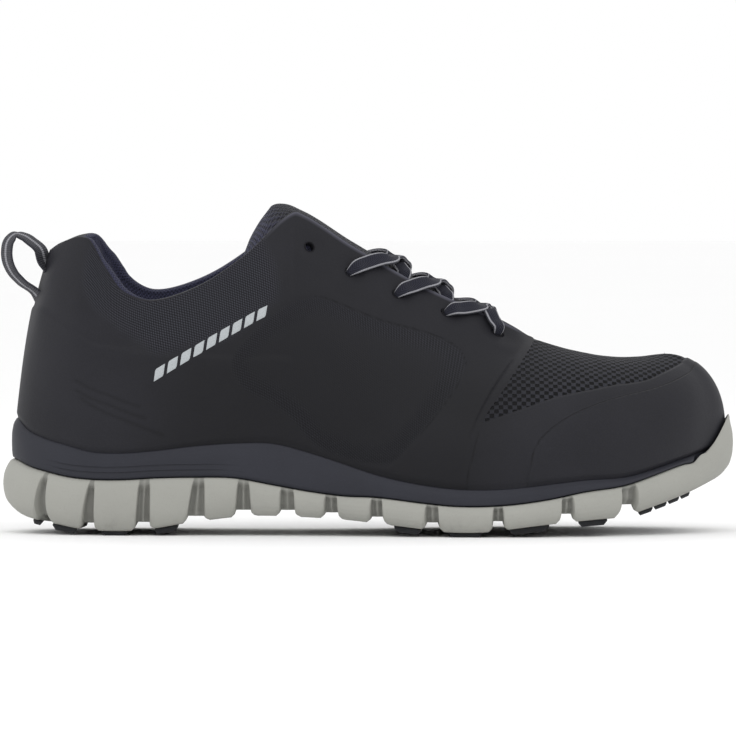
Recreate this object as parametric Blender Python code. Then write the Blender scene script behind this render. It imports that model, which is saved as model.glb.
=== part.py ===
"""Right safety sneaker: a knit and film upper on a two-colour foam sole with black rubber pads.

Metres, +Z up, toe along +X, the wearer's outer side along -Y. The origin is on the floor under
the middle of the shoe. Every curved piece comes from two functions: the outline of the sole, and
the section of the upper, which is a Bezier curve from the feather line to the top line.
"""

import math

import bpy
import bmesh
import numpy as np
from mathutils import Vector

# Driving sizes
SOLE_LENGTH = 0.300
BALL_WIDTH = 0.108
SOLE_HEIGHT = 0.048
UPPER_HEIGHT = 0.134
TOE_SWING = 0.0108

# Walls, layers and clearances
WALL = 0.0024
COLLAR_PAD = 0.0045
OVERLAY = 0.0007
GAP = 0.0003
BAND_FLOOR = 0.003
RIM_INNER = WALL + 0.0008
BED_CORNER = 0.006
BUMPER_LIP = 0.0009
BUMPER_START = 0.957
BAND_SHY = 0.0018
NICK = 0.0004
EDGE_STEP = 0.001
LIP_TOP, LIP_FOOT = (0.0022, 0.0007), (0.0072, 0.0010)
LIP_NARROWS = (0.89, 0.94)
BAND_CURVE = 0.002
BAND_TUCK = 0.0006
PAD_INSET = 0.0015
PAD_BEVEL = 0.12
GROOVE_DEPTH = 0.0036
INSOLE_THICKNESS = 0.0035
TONGUE_THICKNESS = 0.010
TONGUE_EDGE = 0.0025
TONGUE_CLEAR = 0.0006
EYELET_RADIUS = 0.0019
EYELET_CUT = 0.008
LACE_WIDTH = 0.0065
LACE_THICKNESS = 0.0016
LACE_LIFT = OVERLAY + 0.0007 + LACE_THICKNESS / 2
LACE_CLEAR = 0.0021
LACE_OVER = 0.0008
EDGE_HUMP = 0.0017
LOOP_WIDTH = 0.012
LOOP_THICKNESS = 0.0012
FILM_STEP = 0.004

LATERAL, MEDIAL = -1, 1

# Stations of the sole's round ends, as shares of its length, and the upper's inner rows
ROUND_ENDS = (0.0, 0.0025, 0.010, 0.022, 0.034)
TOE_BLOCK = (0.885, 0.905, 0.925, 0.943)
TOE_ROUND = (0.966, 0.974, 0.982, 0.990, 0.996, 0.9990, 1.0)
INNER_ROWS = (1.0, 0.92, 0.82, 0.68, 0.52, 0.34, 0.17, 0.0)

# Outline of the sole: place along its length, and each side as a share of the ball width
OUTLINE = (
    # along, lateral, medial
    (0.000, 0.000, 0.000),
    (0.030, -0.205, 0.205),
    (0.070, -0.290, 0.288),
    (0.120, -0.340, 0.332),
    (0.200, -0.362, 0.346),
    (0.300, -0.370, 0.318),
    (0.400, -0.388, 0.292),
    (0.500, -0.434, 0.322),
    (0.600, -0.490, 0.408),
    (0.680, -0.512, 0.472),
    (0.760, -0.486, 0.498),
    (0.830, -0.415, 0.486),
    (0.890, -0.318, 0.444),
    (0.940, -0.200, 0.378),
    (0.975, -0.065, 0.292),
    (1.000, 0.100, 0.100),
)

# Lines round the sole, as shares of its height: top of the grey foam, feather line, foot bed
EDGE_LINES = (
    # along, grey_top, feather, floor
    (0.000, 0.646, 0.980, 0.594),
    (0.020, 0.615, 0.977, 0.594),
    (0.036, 0.573, 0.883, 0.590),
    (0.060, 0.533, 0.813, 0.583),
    (0.090, 0.492, 0.758, 0.579),
    (0.125, 0.471, 0.702, 0.573),
    (0.165, 0.469, 0.692, 0.563),
    (0.210, 0.485, 0.713, 0.552),
    (0.260, 0.492, 0.750, 0.538),
    (0.320, 0.485, 0.777, 0.517),
    (0.370, 0.429, 0.775, 0.490),
    (0.423, 0.371, 0.692, 0.450),
    (0.466, 0.338, 0.606, 0.413),
    (0.507, 0.329, 0.521, 0.379),
    (0.572, 0.283, 0.433, 0.325),
    (0.611, 0.260, 0.402, 0.300),
    (0.687, 0.269, 0.402, 0.283),
    (0.745, 0.317, 0.442, 0.304),
    (0.788, 0.371, 0.471, 0.333),
    (0.854, 0.435, 0.500, 0.385),
    (0.884, 0.496, 0.550, 0.427),
    (0.925, 0.583, 0.631, 0.490),
    (0.956, 0.635, 0.688, 0.542),
    (0.974, 0.750, 0.708, 0.573),
    (0.990, 0.906, 0.719, 0.594),
    (1.000, 1.000, 0.725, 0.600),
)

# Underside of the grey blocks, as a share of the sole's height: heel bevel, arch and toe spring
BLOCK_LINE = (
    # along, underside
    (0.000, 0.260),
    (0.012, 0.215),
    (0.026, 0.160),
    (0.045, 0.125),
    (0.081, 0.085),
    (0.105, 0.057),
    (0.125, 0.044),
    (0.185, 0.044),
    (0.215, 0.066),
    (0.250, 0.104),
    (0.290, 0.138),
    (0.330, 0.165),
    (0.420, 0.158),
    (0.480, 0.133),
    (0.520, 0.104),
    (0.560, 0.075),
    (0.600, 0.044),
    (0.660, 0.044),
    (0.700, 0.075),
    (0.745, 0.108),
    (0.800, 0.140),
    (0.845, 0.165),
    (0.880, 0.229),
    (0.920, 0.313),
    (0.960, 0.410),
    (0.985, 0.480),
    (1.000, 0.540),
)

# How far each edge lies inside the outline, as shares of the ball width
INSETS = (
    # along, upper, band, grey_top, foot
    (0.000, 0.0570, 0.0325, 0.0343, 0.0560),
    (0.050, 0.0417, 0.0240, 0.0260, 0.0450),
    (0.150, 0.0315, 0.0167, 0.0185, 0.0325),
    (0.500, 0.0296, 0.0148, 0.0167, 0.0296),
    (0.850, 0.0296, 0.0148, 0.0167, 0.0340),
    (0.950, 0.0380, 0.0157, 0.0185, 0.0480),
    (1.000, 0.0460, 0.0190, 0.0240, 0.0640),
)

# Cross grooves: where each starts and ends at the floor and at the band, and its ceiling as a
# share of the sole's height
GROOVES = (
    # low_start, low_end, high_start, high_end, ceiling
    (0.0410, 0.0587, 0.0560, 0.0615, 0.160),
    (0.1090, 0.1257, 0.1216, 0.1280, 0.106),
    (0.1844, 0.2029, 0.1899, 0.2036, 0.115),
    (0.2541, 0.2773, 0.2637, 0.2773, 0.167),
    (0.3197, 0.3402, 0.3238, 0.3374, 0.219),
    (0.3798, 0.3989, 0.3811, 0.3975, 0.219),
    (0.4393, 0.4570, 0.4407, 0.4556, 0.200),
    (0.5014, 0.5178, 0.5027, 0.5164, 0.167),
    (0.5751, 0.5936, 0.5765, 0.5922, 0.123),
    (0.6667, 0.6817, 0.6680, 0.6803, 0.137),
    (0.7604, 0.7773, 0.7617, 0.7760, 0.196),
    (0.8429, 0.8648, 0.8443, 0.8634, 0.265),
)

# Rubber pads: where each starts and ends, and its thickness in metres, or 0 where it lies flat on
# the floor
PADS = (
    # start, end, thickness
    (0.0260, 0.0400, 0.0016),
    (0.0600, 0.0980, 0.0021),
    (0.1366, 0.1735, 0),
    (0.2100, 0.2420, 0.0021),
    (0.5310, 0.5670, 0.0021),
    (0.6066, 0.6516, 0),
    (0.6900, 0.7460, 0.0021),
    (0.7880, 0.8290, 0.0021),
    (0.8750, 0.8960, 0.0014),
    (0.8980, 0.9175, 0.0013),
    (0.9195, 0.9375, 0.0012),
    (0.9395, 0.9560, 0.0012),
)

# Sections of the upper, from the heel's centre to the toe's. foot is the place along the outline,
# top_along that of the top line, gap its distance from the centre line as a share of the ball
# width, height and rise (of the inner side) shares of the upper's height. lean and drop are the
# curve's angles at its ends, in degrees, and low and high its handles as shares of the chord.
# cap and film are where the toe cap's edge and the film's edge cross the section.
SECTIONS = (
    # foot, top_along, gap, height, rise, lean, low, drop, high, cap, film
    (0.000, 0.0642, 0.000, 0.863, 0.000, -6, 0.33, 70, 0.33, 0.16, 0.65),
    (0.010, 0.0840, 0.160, 0.889, 0.002, -4, 0.33, 73, 0.33, 0.16, 0.62),
    (0.045, 0.1175, 0.255, 0.907, 0.010, 2, 0.34, 78, 0.33, 0.16, 0.56),
    (0.105, 0.1420, 0.284, 0.812, 0.034, 6, 0.35, 80, 0.33, 0.16, 0.57),
    (0.158, 0.1680, 0.292, 0.735, 0.030, 7, 0.35, 80, 0.33, 0.16, 0.65),
    (0.214, 0.2117, 0.287, 0.709, 0.024, 7, 0.36, 80, 0.33, 0.16, 0.64),
    (0.276, 0.2760, 0.271, 0.761, 0.018, 7, 0.36, 76, 0.33, 0.16, 0.54),
    (0.337, 0.3374, 0.236, 0.857, 0.010, 6, 0.38, 72, 0.34, 0.16, 0.42),
    (0.385, 0.3866, 0.194, 0.963, 0.008, 6, 0.38, 68, 0.34, 0.16, 0.36),
    (0.422, 0.4139, 0.148, 0.981, 0.008, 6, 0.38, 64, 0.34, 0.16, 0.34),
    (0.474, 0.4768, 0.116, 0.892, 0.010, 7, 0.38, 60, 0.34, 0.16, 0.33),
    (0.531, 0.5587, 0.097, 0.784, 0.010, 8, 0.38, 56, 0.34, 0.16, 0.33),
    (0.586, 0.6448, 0.083, 0.681, 0.006, 10, 0.38, 48, 0.34, 0.15, 0.35),
    (0.621, 0.7008, 0.056, 0.616, 0.002, 11, 0.38, 34, 0.36, 0.13, 0.39),
    (0.633, 0.7240, 0.000, 0.590, 0.000, 11, 0.38, 12, 0.38, 0.12, 0.33),
    (0.686, 0.7609, 0.000, 0.563, 0.000, 12, 0.40, 4, 0.41, 0.12, 0.41),
    (0.754, 0.8046, 0.000, 0.541, 0.000, 12, 0.42, 0, 0.43, 0.34, 0.49),
    (0.822, 0.8402, 0.000, 0.532, 0.000, 12, 0.44, 0, 0.44, 0.45, 0.57),
    (0.885, 0.8675, 0.000, 0.533, 0.000, 11, 0.46, 0, 0.44, 0.52, 0.64),
    (0.945, 0.8866, 0.000, 0.537, 0.000, 10, 0.48, 0, 0.42, 0.585, 0.715),
    (0.985, 0.9003, 0.000, 0.540, 0.000, 10, 0.49, 0, 0.38, 0.665, 0.81),
    (1.000, 0.9057, 0.000, 0.541, 0.000, 10, 0.49, 0, 0.37, 0.73, 0.875),
)
LAST_SECTION = len(SECTIONS) - 1
THROAT_END = 14
FILM_REAR = 8.4
CAP_REAR = 15.45

# Eyelets, top to bottom: place along the shoe and height as a share of the upper's height
EYELETS = (
    # along, height
    (0.4194, 0.870),
    (0.4740, 0.793),
    (0.5383, 0.727),
    (0.6066, 0.669),
    (0.6749, 0.609),
)

# Tongue: section it belongs to, crown's place and height, and how far it tucks under the eyestay
TONGUE = (
    # section, crown_along, crown_height, tuck
    (7.40, 0.3640, 0.979, 0.03),
    (7.80, 0.3700, 0.995, 0.03),
    (8.20, 0.3798, 0.999, 0.03),
    (8.60, 0.3940, 0.994, 0.05),
    (9.00, 0.4140, 0.972, 0.08),
    (10.0, 0.4768, 0.882, 0.13),
    (11.0, 0.5587, 0.770, 0.13),
    (12.0, 0.6448, 0.666, 0.13),
    (13.0, 0.7008, 0.594, 0.14),
    (13.7, 0.7170, 0.572, 0.16),
)
TONGUE_SECTIONS = (7.4, 7.8, 8.2, 8.6, 9.0, 9.5, 10.0, 10.5, 11.0, 11.5, 12.0, 12.5, 13.0, 13.4, 13.7,
                   14.1, 14.6, 15.0)
TONGUE_ACROSS = np.array((-1.0, -0.8, -0.6, -0.3, 0.0, 0.3, 0.6, 0.8, 1.0))
TONGUE_OPEN = 0.55
TONGUE_THIN = (7.4, 9.6, 15.0), (1.0, 0.58, 0.25)

# Crossings of the lace, from the toe up: the eyelet rows that each joins, and how far along it is
# at the first edge of the eyestay, at the middle of the tongue and at the second edge
CROSSINGS = (
    # start, end, first_edge, middle, second_edge
    (4, 3, 0.14, 0.30, 0.47),
    (3, 2, 0.10, 0.24, 0.42),
    (2, 1, 0.04, 0.12, 0.24),
)

# Pull loop, from the collar to the counter: distances behind and above its upper seam, as shares
# of its reach. Its broad face tilts by LOOP_TILT degrees at its middle.
LOOP_REACH = 0.0175
LOOP_SEAM = 0.95
LOOP_TILT = 20
LOOP = (
    # behind, above
    (0.035, 0.020),
    (0.160, 0.200),
    (0.360, 0.370),
    (0.560, 0.490),
    (0.760, 0.530),
    (0.920, 0.400),
    (0.985, 0.140),
    (0.950, -0.120),
    (0.840, -0.340),
    (0.630, -0.560),
    (0.345, -0.765),
)


def column(table, number):
    return np.array([row[number] for row in table], dtype=float)


def smooth(at, stops, values):
    """Cubic curve through a table's points, each with the slope of a parabola through its
    neighbours."""
    stops, values = np.asarray(stops, dtype=float), np.asarray(values, dtype=float)
    steps = np.diff(stops)
    rates = np.diff(values) / steps
    slopes = np.empty_like(values)
    slopes[0], slopes[-1] = rates[0], rates[-1]
    slopes[1:-1] = (steps[1:] * rates[:-1] + steps[:-1] * rates[1:]) / (steps[:-1] + steps[1:])
    at = np.clip(np.asarray(at, dtype=float), stops[0], stops[-1])
    i = np.clip(np.searchsorted(stops, at, side="right") - 1, 0, len(stops) - 2)
    t = (at - stops[i]) / steps[i]
    return ((1 + 2 * t) * (1 - t) ** 2 * values[i] + t * (1 - t) ** 2 * steps[i] * slopes[i]
            + t * t * (3 - 2 * t) * values[i + 1] + t * t * (t - 1) * steps[i] * slopes[i + 1])


def turn(along):
    """Share of a half turn round the shoe, so that the round ends get even steps."""
    return np.arccos(1 - 2 * np.asarray(along, dtype=float)) / math.pi


def column_at(table, number, at):
    return smooth(at, column(table, 0), column(table, number))


def centre_y(x):
    """Centre line of the shoe, which swings towards the big toe."""
    return TOE_SWING * (x / SOLE_LENGTH) ** 2


def outline_flat(turned, side):
    x = SOLE_LENGTH * (1 - np.cos(math.pi * turned)) / 2
    y = BALL_WIDTH * smooth(turned, turn(column(OUTLINE, 0)), column(OUTLINE, 1 if side < 0 else 2))
    return x, y


def outline(turned, side):
    """Point of the outline and the direction that leads into the shoe, square to the outline."""
    turned = np.asarray(turned, dtype=float)
    x, y = outline_flat(turned, side)
    step = 1e-4
    ahead = outline_flat(np.minimum(turned + step, 1), side)
    behind = outline_flat(np.maximum(turned - step, 0), side)
    dx, dy = ahead[0] - behind[0], ahead[1] - behind[1]
    length = np.hypot(dx, dy)
    inward = np.stack([side * dy / length, -side * dx / length, 0 * dx], axis=-1)
    ends = (turned <= 0) | (turned >= 1)
    inward[ends] = np.stack([np.where(turned <= 0, 1, -1), 0 * turned, 0 * turned], axis=-1)[ends]
    return np.stack([x, y, 0 * x], axis=-1), inward


def inset(turned, side, number, extra=0.0):
    """Point inside the outline by a column of INSETS and an extra distance."""
    point, inward = outline(turned, side)
    far = BALL_WIDTH * column_at(INSETS, number, point[..., 0] / SOLE_LENGTH) + extra
    return point + inward * np.asarray(far)[..., None]


def level(point, number):
    return SOLE_HEIGHT * column_at(EDGE_LINES, number, point[..., 0] / SOLE_LENGTH)


def underside(point):
    return SOLE_HEIGHT * column_at(BLOCK_LINE, 1, point[..., 0] / SOLE_LENGTH)


def with_z(point, z):
    point = np.array(point, dtype=float)
    point[..., 2] = z
    return point


def spine(turned):
    """Point of the centre line that a station of the outline fans out from."""
    along = (1 - np.cos(math.pi * np.asarray(turned, dtype=float))) / 2
    near, far, squeeze = 0.12, 0.86, 0.35
    x = np.where(along < near, near - (near - along) * squeeze, along)
    x = SOLE_LENGTH * np.where(along > far, far + (along - far) * squeeze, x)
    return np.stack([x, centre_y(x), 0 * x], axis=-1)


def section_value(u, number):
    return smooth(u, np.arange(LAST_SECTION + 1), column(SECTIONS, number))


def upper_point(u, v, side):
    """Outer face of the upper: u counts sections from the heel to the toe, and v goes from the
    feather line, 0, to the top line, 1, along a Bezier curve."""
    u, v = np.broadcast_arrays(np.asarray(u, dtype=float), np.asarray(v, dtype=float))
    turned = np.clip(smooth(u, np.arange(LAST_SECTION + 1), turn(column(SECTIONS, 0))), 0, 1)
    outward = -outline(turned, side)[1]
    foot = inset(turned, side, 1)
    foot = with_z(foot, level(foot, 2) + GAP)
    top_x = SOLE_LENGTH * section_value(u, 1)
    gap = BALL_WIDTH * np.where(u >= THROAT_END, 0, np.maximum(section_value(u, 2), 0))
    rise = UPPER_HEIGHT * np.where(u >= THROAT_END, 0, section_value(u, 4)) * (side > 0)
    top = np.stack([top_x, centre_y(top_x) + side * gap,
                    UPPER_HEIGHT * section_value(u, 3) + rise], axis=-1)
    chord = np.linalg.norm(top - foot, axis=-1)
    lean, drop = np.radians(section_value(u, 5)), np.radians(section_value(u, 7))
    up = np.array([0.0, 0.0, 1.0])
    low = (section_value(u, 6) * chord)[..., None]
    high = (section_value(u, 8) * chord)[..., None]
    first = foot + low * (up * np.cos(lean)[..., None] + outward * np.sin(lean)[..., None])
    last = top + high * (outward * np.cos(drop)[..., None] - up * np.sin(drop)[..., None])
    v = v[..., None]
    return ((1 - v) ** 3 * foot + 3 * (1 - v) ** 2 * v * first
            + 3 * (1 - v) * v * v * last + v ** 3 * top)


def upper_normal(u, v, side):
    """Direction out of the upper, square to its face."""
    u, v = np.broadcast_arrays(np.asarray(u, dtype=float), np.asarray(v, dtype=float))
    du, dv = 0.01, 0.002
    along = (upper_point(np.minimum(u + du, LAST_SECTION), v, side)
             - upper_point(np.maximum(u - du, 0), v, side))
    across = (upper_point(u, np.minimum(v + dv, 1), side)
              - upper_point(u, np.maximum(v - dv, 0), side))
    normal = -side * np.cross(along, across)
    normal[u <= 0, 1] = 0
    normal[(u >= THROAT_END) & (v >= 1)] = (0, 0, 1)
    level_rim = v <= 0
    normal[level_rim, 2] = 0
    return normal / np.linalg.norm(normal, axis=-1, keepdims=True)


def collar_padding(u, v):
    """Extra wall at the padded collar, fading out down the ankle and towards the throat."""
    down = np.clip((v - 0.55) / 0.25, 0, 1)
    rim = 1 - 0.45 * np.clip((v - 0.9) / 0.1, 0, 1)
    ahead = np.clip((7.6 - u) / 1.5, 0, 1)
    return COLLAR_PAD * (down * down * (3 - 2 * down)) * rim * (ahead * ahead * (3 - 2 * ahead))


def film_layers(u, v):
    """Number of film layers: counter, saddle and eyestay, front rand, and the toe cap on it."""
    film = section_value(u, 10)
    cap = section_value(u, 9)
    saddle = (u > FILM_REAR) & (u < THROAT_END)
    return 1.0 * (saddle | (v < film)) + 1.0 * ((u > CAP_REAR) & (v < cap))


def upper_outer(u, v, side, lift=0.0):
    """Outer face with its film layers, or a face that far above it."""
    u, v = np.broadcast_arrays(np.asarray(u, dtype=float), np.asarray(v, dtype=float))
    raised = OVERLAY * film_layers(u, v) + lift
    return upper_point(u, v, side) + upper_normal(u, v, side) * raised[..., None]


def upper_inner(u, v, side, extra=0.0):
    """Inner face of the wall, or a face that far inside it."""
    u, v = np.broadcast_arrays(np.asarray(u, dtype=float), np.asarray(v, dtype=float))
    depth = WALL + collar_padding(u, v) + extra
    return upper_point(u, v, side) - upper_normal(u, v, side) * depth[..., None]


def paint(name, colour, roughness):
    material = bpy.data.materials.new(name)
    material.use_nodes = True
    shader = material.node_tree.nodes["Principled BSDF"]
    shader.inputs["Base Color"].default_value = (*colour, 1.0)
    shader.inputs["Roughness"].default_value = roughness
    shader.inputs["Metallic"].default_value = 0.0
    material.diffuse_color = (*colour, 1.0)
    return material


def solid(name, vertices, faces, material):
    """Object from points in the shoe's own lengths, with its doubles merged, faces outward and
    its place moved so that the origin is under the middle of the shoe."""
    vertices = np.asarray(vertices, dtype=float).reshape(-1, 3) + ORIGIN_SHIFT
    mesh = bpy.data.meshes.new(name)
    mesh.from_pydata(vertices.tolist(), [], faces)
    work = bmesh.new()
    work.from_mesh(mesh)
    bmesh.ops.remove_doubles(work, verts=work.verts, dist=1e-5)
    bmesh.ops.triangulate(work, faces=work.faces)
    bmesh.ops.recalc_face_normals(work, faces=work.faces)
    work.to_mesh(mesh)
    work.free()
    mesh.materials.append(material)
    mesh.shade_smooth()
    mesh.set_sharp_from_angle(angle=math.radians(40))
    item = bpy.data.objects.new(name, mesh)
    bpy.context.collection.objects.link(item)
    return item


def ring_faces(rings, rows, closed_rings=True, closed_rows=False):
    """Faces of a grid whose points are numbered ring by ring."""
    faces = []
    for i in range(rings if closed_rings else rings - 1):
        for j in range(rows if closed_rows else rows - 1):
            a, b = i * rows, (i + 1) % rings * rows
            k = (j + 1) % rows
            faces.append((a + j, b + j, b + k, a + k))
    return faces


def sole_ring(stations):
    """Stations round the whole outline: out along one side and back along the other."""
    forward = [(row, LATERAL) for row in stations]
    back = [(row, MEDIAL) for row in reversed(stations[1:-1])]
    return forward + back


def midsole_stations():
    """Places along the sole, each at the floor and at the band, with its groove's ceiling."""
    stations = [(along, along, None) for along in ROUND_ENDS]
    last = ROUND_ENDS[-1]
    for low_start, low_end, high_start, high_end, ceiling in GROOVES:
        middle = (last + low_start) / 2
        if low_start - last > 0.03:
            stations.append((middle, middle, None))
        stations.append((low_start - NICK, high_start - NICK, None))
        stations.append((low_start + NICK, high_start + NICK, ceiling))
        stations.append((low_end - NICK, high_end - NICK, ceiling))
        stations.append((low_end + NICK, high_end + NICK, None))
        last = low_end
    for along in TOE_BLOCK + (BUMPER_START - NICK, BUMPER_START + NICK) + TOE_ROUND:
        stations.append((along, along, None))
    return stations


def bumper_inner(turned, side, height):
    """Point just outside the upper's front, at a height, for the inner face of the bumper."""
    turns = smooth(np.linspace(0, LAST_SECTION, 400), np.arange(LAST_SECTION + 1),
                   turn(column(SECTIONS, 0)))
    u = float(np.interp(turned, turns, np.linspace(0, LAST_SECTION, 400)))
    v = np.linspace(0, 0.6, 61)
    face = upper_outer(np.full_like(v, u), v, side, 2 * GAP)
    return np.array([np.interp(height, face[:, 2], face[:, k]) for k in range(3)])


def joint_height(along):
    """Height of the joint between the two foams, inside the grey foam's edge."""
    bed = SOLE_HEIGHT * float(column_at(EDGE_LINES, 3, along)) - BAND_FLOOR
    grey = SOLE_HEIGHT * float(column_at(EDGE_LINES, 1, along))
    return min(bed, grey - EDGE_STEP)


def lip_widths(along):
    """Widths of the grey foam's edge at its top and at its foot, which narrow to the bumper."""
    return np.interp(along, LIP_NARROWS, LIP_TOP), np.interp(along, LIP_NARROWS, LIP_FOOT)


def midsole_profile(station, side):
    """Section of the grey foam from the middle of its top, over the edge, to the middle of its
    underside. In a groove the wall is cut back and the underside is the groove's ceiling."""
    low, high, ceiling = station
    groove = 0.0 if ceiling is None else GROOVE_DEPTH
    t_low, t_high = turn(low), turn(high)
    centre = spine(t_high)
    bed = joint_height(high)
    rim = inset(t_high, side, 3)
    grey = level(rim, 1)
    bumper = high > BUMPER_START
    if bumper:
        grey = SOLE_HEIGHT * float(column_at(EDGE_LINES, 1, high))
    foot = inset(t_low, side, 4)
    base = float(underside(inset(t_low, side, 4))) if ceiling is None else SOLE_HEIGHT * ceiling
    points = [with_z(centre, bed)]
    if bumper:
        feather = float(level(inset(t_high, side, 1), 2))
        for height, z in ((feather, bed), (feather, feather), ((feather + grey) / 2,) * 2):
            points.append(with_z(bumper_inner(t_high, side, height), z))
        lip = with_z(bumper_inner(t_high, side, grey), grey)
        points.append(lip)
        points.append(lip - outline(t_high, side)[1] * BUMPER_LIP)
    else:
        lip_top, lip_foot = lip_widths(high)
        points.append(with_z(inset(t_high, side, 3, lip_foot), bed))
        for share in (0.33, 0.67):
            points.append(with_z(inset(t_high, side, 3, lip_foot + share * (lip_top - lip_foot)),
                                 bed + share * (grey - bed)))
        points.append(with_z(inset(t_high, side, 3, lip_top), grey))
        points.append(with_z(rim, grey))
    top_in = BALL_WIDTH * float(column_at(INSETS, 3, high))
    foot_in = BALL_WIDTH * float(column_at(INSETS, 4, low))
    for share, far in ((0.90, 0.55 * top_in), (0.56, 0.0), (0.22, 0.22 * foot_in)):
        point, inward = outline(t_low + (t_high - t_low) * share, side)
        points.append(with_z(point + inward * (groove + far), base + share * (grey - base)))
    middle = spine(t_low)
    points.append(with_z(foot, base))
    points.append(with_z(middle, base if ceiling is not None else float(underside(middle))))
    return points


def make_midsole():
    ring = sole_ring(midsole_stations())
    profiles = [midsole_profile(station, side) for station, side in ring]
    rows = len(profiles[0])
    return solid("midsole", profiles, ring_faces(len(ring), rows, True, False),
                 paint("grey foam", (0.35, 0.35, 0.31), 0.7))


def band_stations():
    """The midsole's stations at the band's height, each groove's pair as one, so that the two
    pieces meet along the same lines."""
    stations = []
    for low, high, ceiling in midsole_stations():
        paired = stations and high - stations[-1] < 3 * NICK
        if abs(high - BUMPER_START) < 2 * NICK:
            stations.append(high - BAND_SHY)
        elif paired:
            stations[-1] = high
        else:
            stations.append(high)
    return stations


def band_profile(along, side):
    """Section of the slate band, a dish from its bed out to the rim and back under the bed."""
    turned = turn(along)
    centre = spine(turned)
    bed = SOLE_HEIGHT * float(column_at(EDGE_LINES, 3, along))
    edge = inset(turned, side, 1, GAP)
    feather = float(level(edge, 2))
    grey = float(level(inset(turned, side, 3), 1))
    under = joint_height(along) + GAP
    points = [with_z(centre, bed), with_z(inset(turned, side, 1, RIM_INNER + BED_CORNER), bed),
              with_z(inset(turned, side, 1, RIM_INNER + BAND_CURVE), bed + 0.05 * (feather - bed)),
              with_z(inset(turned, side, 1, RIM_INNER), feather)]
    if along < BUMPER_START - BAND_SHY:
        outer = grey + GAP
        lip_top, lip_foot = lip_widths(along)
        points += [with_z(inset(turned, side, 1, -GAP), feather),
                   with_z(inset(turned, side, 2, GAP), feather - 0.30 * (feather - outer)),
                   with_z(inset(turned, side, 2), feather - 0.55 * (feather - outer)),
                   with_z(inset(turned, side, 2, BAND_TUCK), outer),
                   with_z(inset(turned, side, 3, lip_top + 1.5 * GAP), outer),
                   with_z(inset(turned, side, 3, lip_foot + 3 * GAP), under)]
    else:
        outer = SOLE_HEIGHT * float(column_at(EDGE_LINES, 1, BUMPER_START - BAND_SHY)) + GAP
        for share in (0.0, 0.3, 0.55, 1.0):
            points.append(with_z(edge, feather - share * (feather - outer)))
        points += [with_z(edge, outer - GAP), with_z(edge, under)]
    points.append(with_z(centre, under))
    return points


def make_band():
    ring = sole_ring(band_stations())
    profiles = [band_profile(along, side) for along, side in ring]
    return solid("midsole_band", profiles, ring_faces(len(ring), len(profiles[0]), True, False),
                 paint("slate foam", (0.055, 0.058, 0.080), 0.65))


def make_insole():
    ring = sole_ring(band_stations())
    profiles = []
    for along, side in ring:
        turned = turn(along)
        edge = inset(turned, side, 1, RIM_INNER + BED_CORNER)
        bed = SOLE_HEIGHT * float(column_at(EDGE_LINES, 3, along)) + GAP
        top = bed + INSOLE_THICKNESS
        profiles.append([with_z(spine(turned), top), with_z(edge, top), with_z(edge, bed),
                         with_z(spine(turned), bed)])
    return solid("insole", profiles, ring_faces(len(ring), 4, True, False),
                 paint("insole cloth", (0.03, 0.03, 0.04), 0.9))


def make_pads():
    """Rubber pads under the blocks, each a slab that follows the block's underside."""
    rubber = paint("black rubber", (0.015, 0.016, 0.019), 0.8)
    pads = []
    for number, (start, end, thickness) in enumerate(PADS, start=1):
        slabs = []
        bevel = PAD_BEVEL * (end - start)
        for along, share in ((start, 0.25), (start + bevel, 1.0), ((start + end) / 2, 1.0),
                             (end - bevel, 1.0), (end, 0.25)):
            turned = turn(along)
            sides = [inset(turned, side, 4, PAD_INSET) for side in (LATERAL, MEDIAL)]
            top = min(float(underside(point)) for point in sides) - GAP
            depth = min(thickness or top, top)
            low = top - depth * share
            slabs.append([with_z(sides[0], top), with_z(sides[1], top),
                          with_z(sides[1], low), with_z(sides[0], low)])
        faces = ring_faces(len(slabs), 4, False, True)
        faces += [(0, 1, 2, 3), tuple(4 * (len(slabs) - 1) + k for k in (3, 2, 1, 0))]
        pads.append(solid("tread_%02d" % number, slabs, faces, rubber))
    return pads


def doubled(values, edges, step):
    """Values with each edge replaced by a pair a step apart, so that a film's edge is crisp."""
    kept = [value for value in values if all(abs(value - edge) > 0.2 for edge in edges)]
    for edge in edges:
        kept += [edge - step, edge + step]
    return sorted(kept)


def upper_rows(u):
    """Row places of one section: pairs at the toe cap's edge and at the film's edge."""
    cap, film = float(section_value(u, 9)), float(section_value(u, 10))
    low = [0, cap * 0.5, cap - FILM_STEP, cap + FILM_STEP]
    middle = [cap + (film - cap) * share for share in (0.33, 0.67)]
    middle += [film - FILM_STEP, film + FILM_STEP]
    high = [film + (1 - film) * share for share in (0.25, 0.5, 0.75, 0.9, 1)]
    return np.array(low + middle + high)


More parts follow.
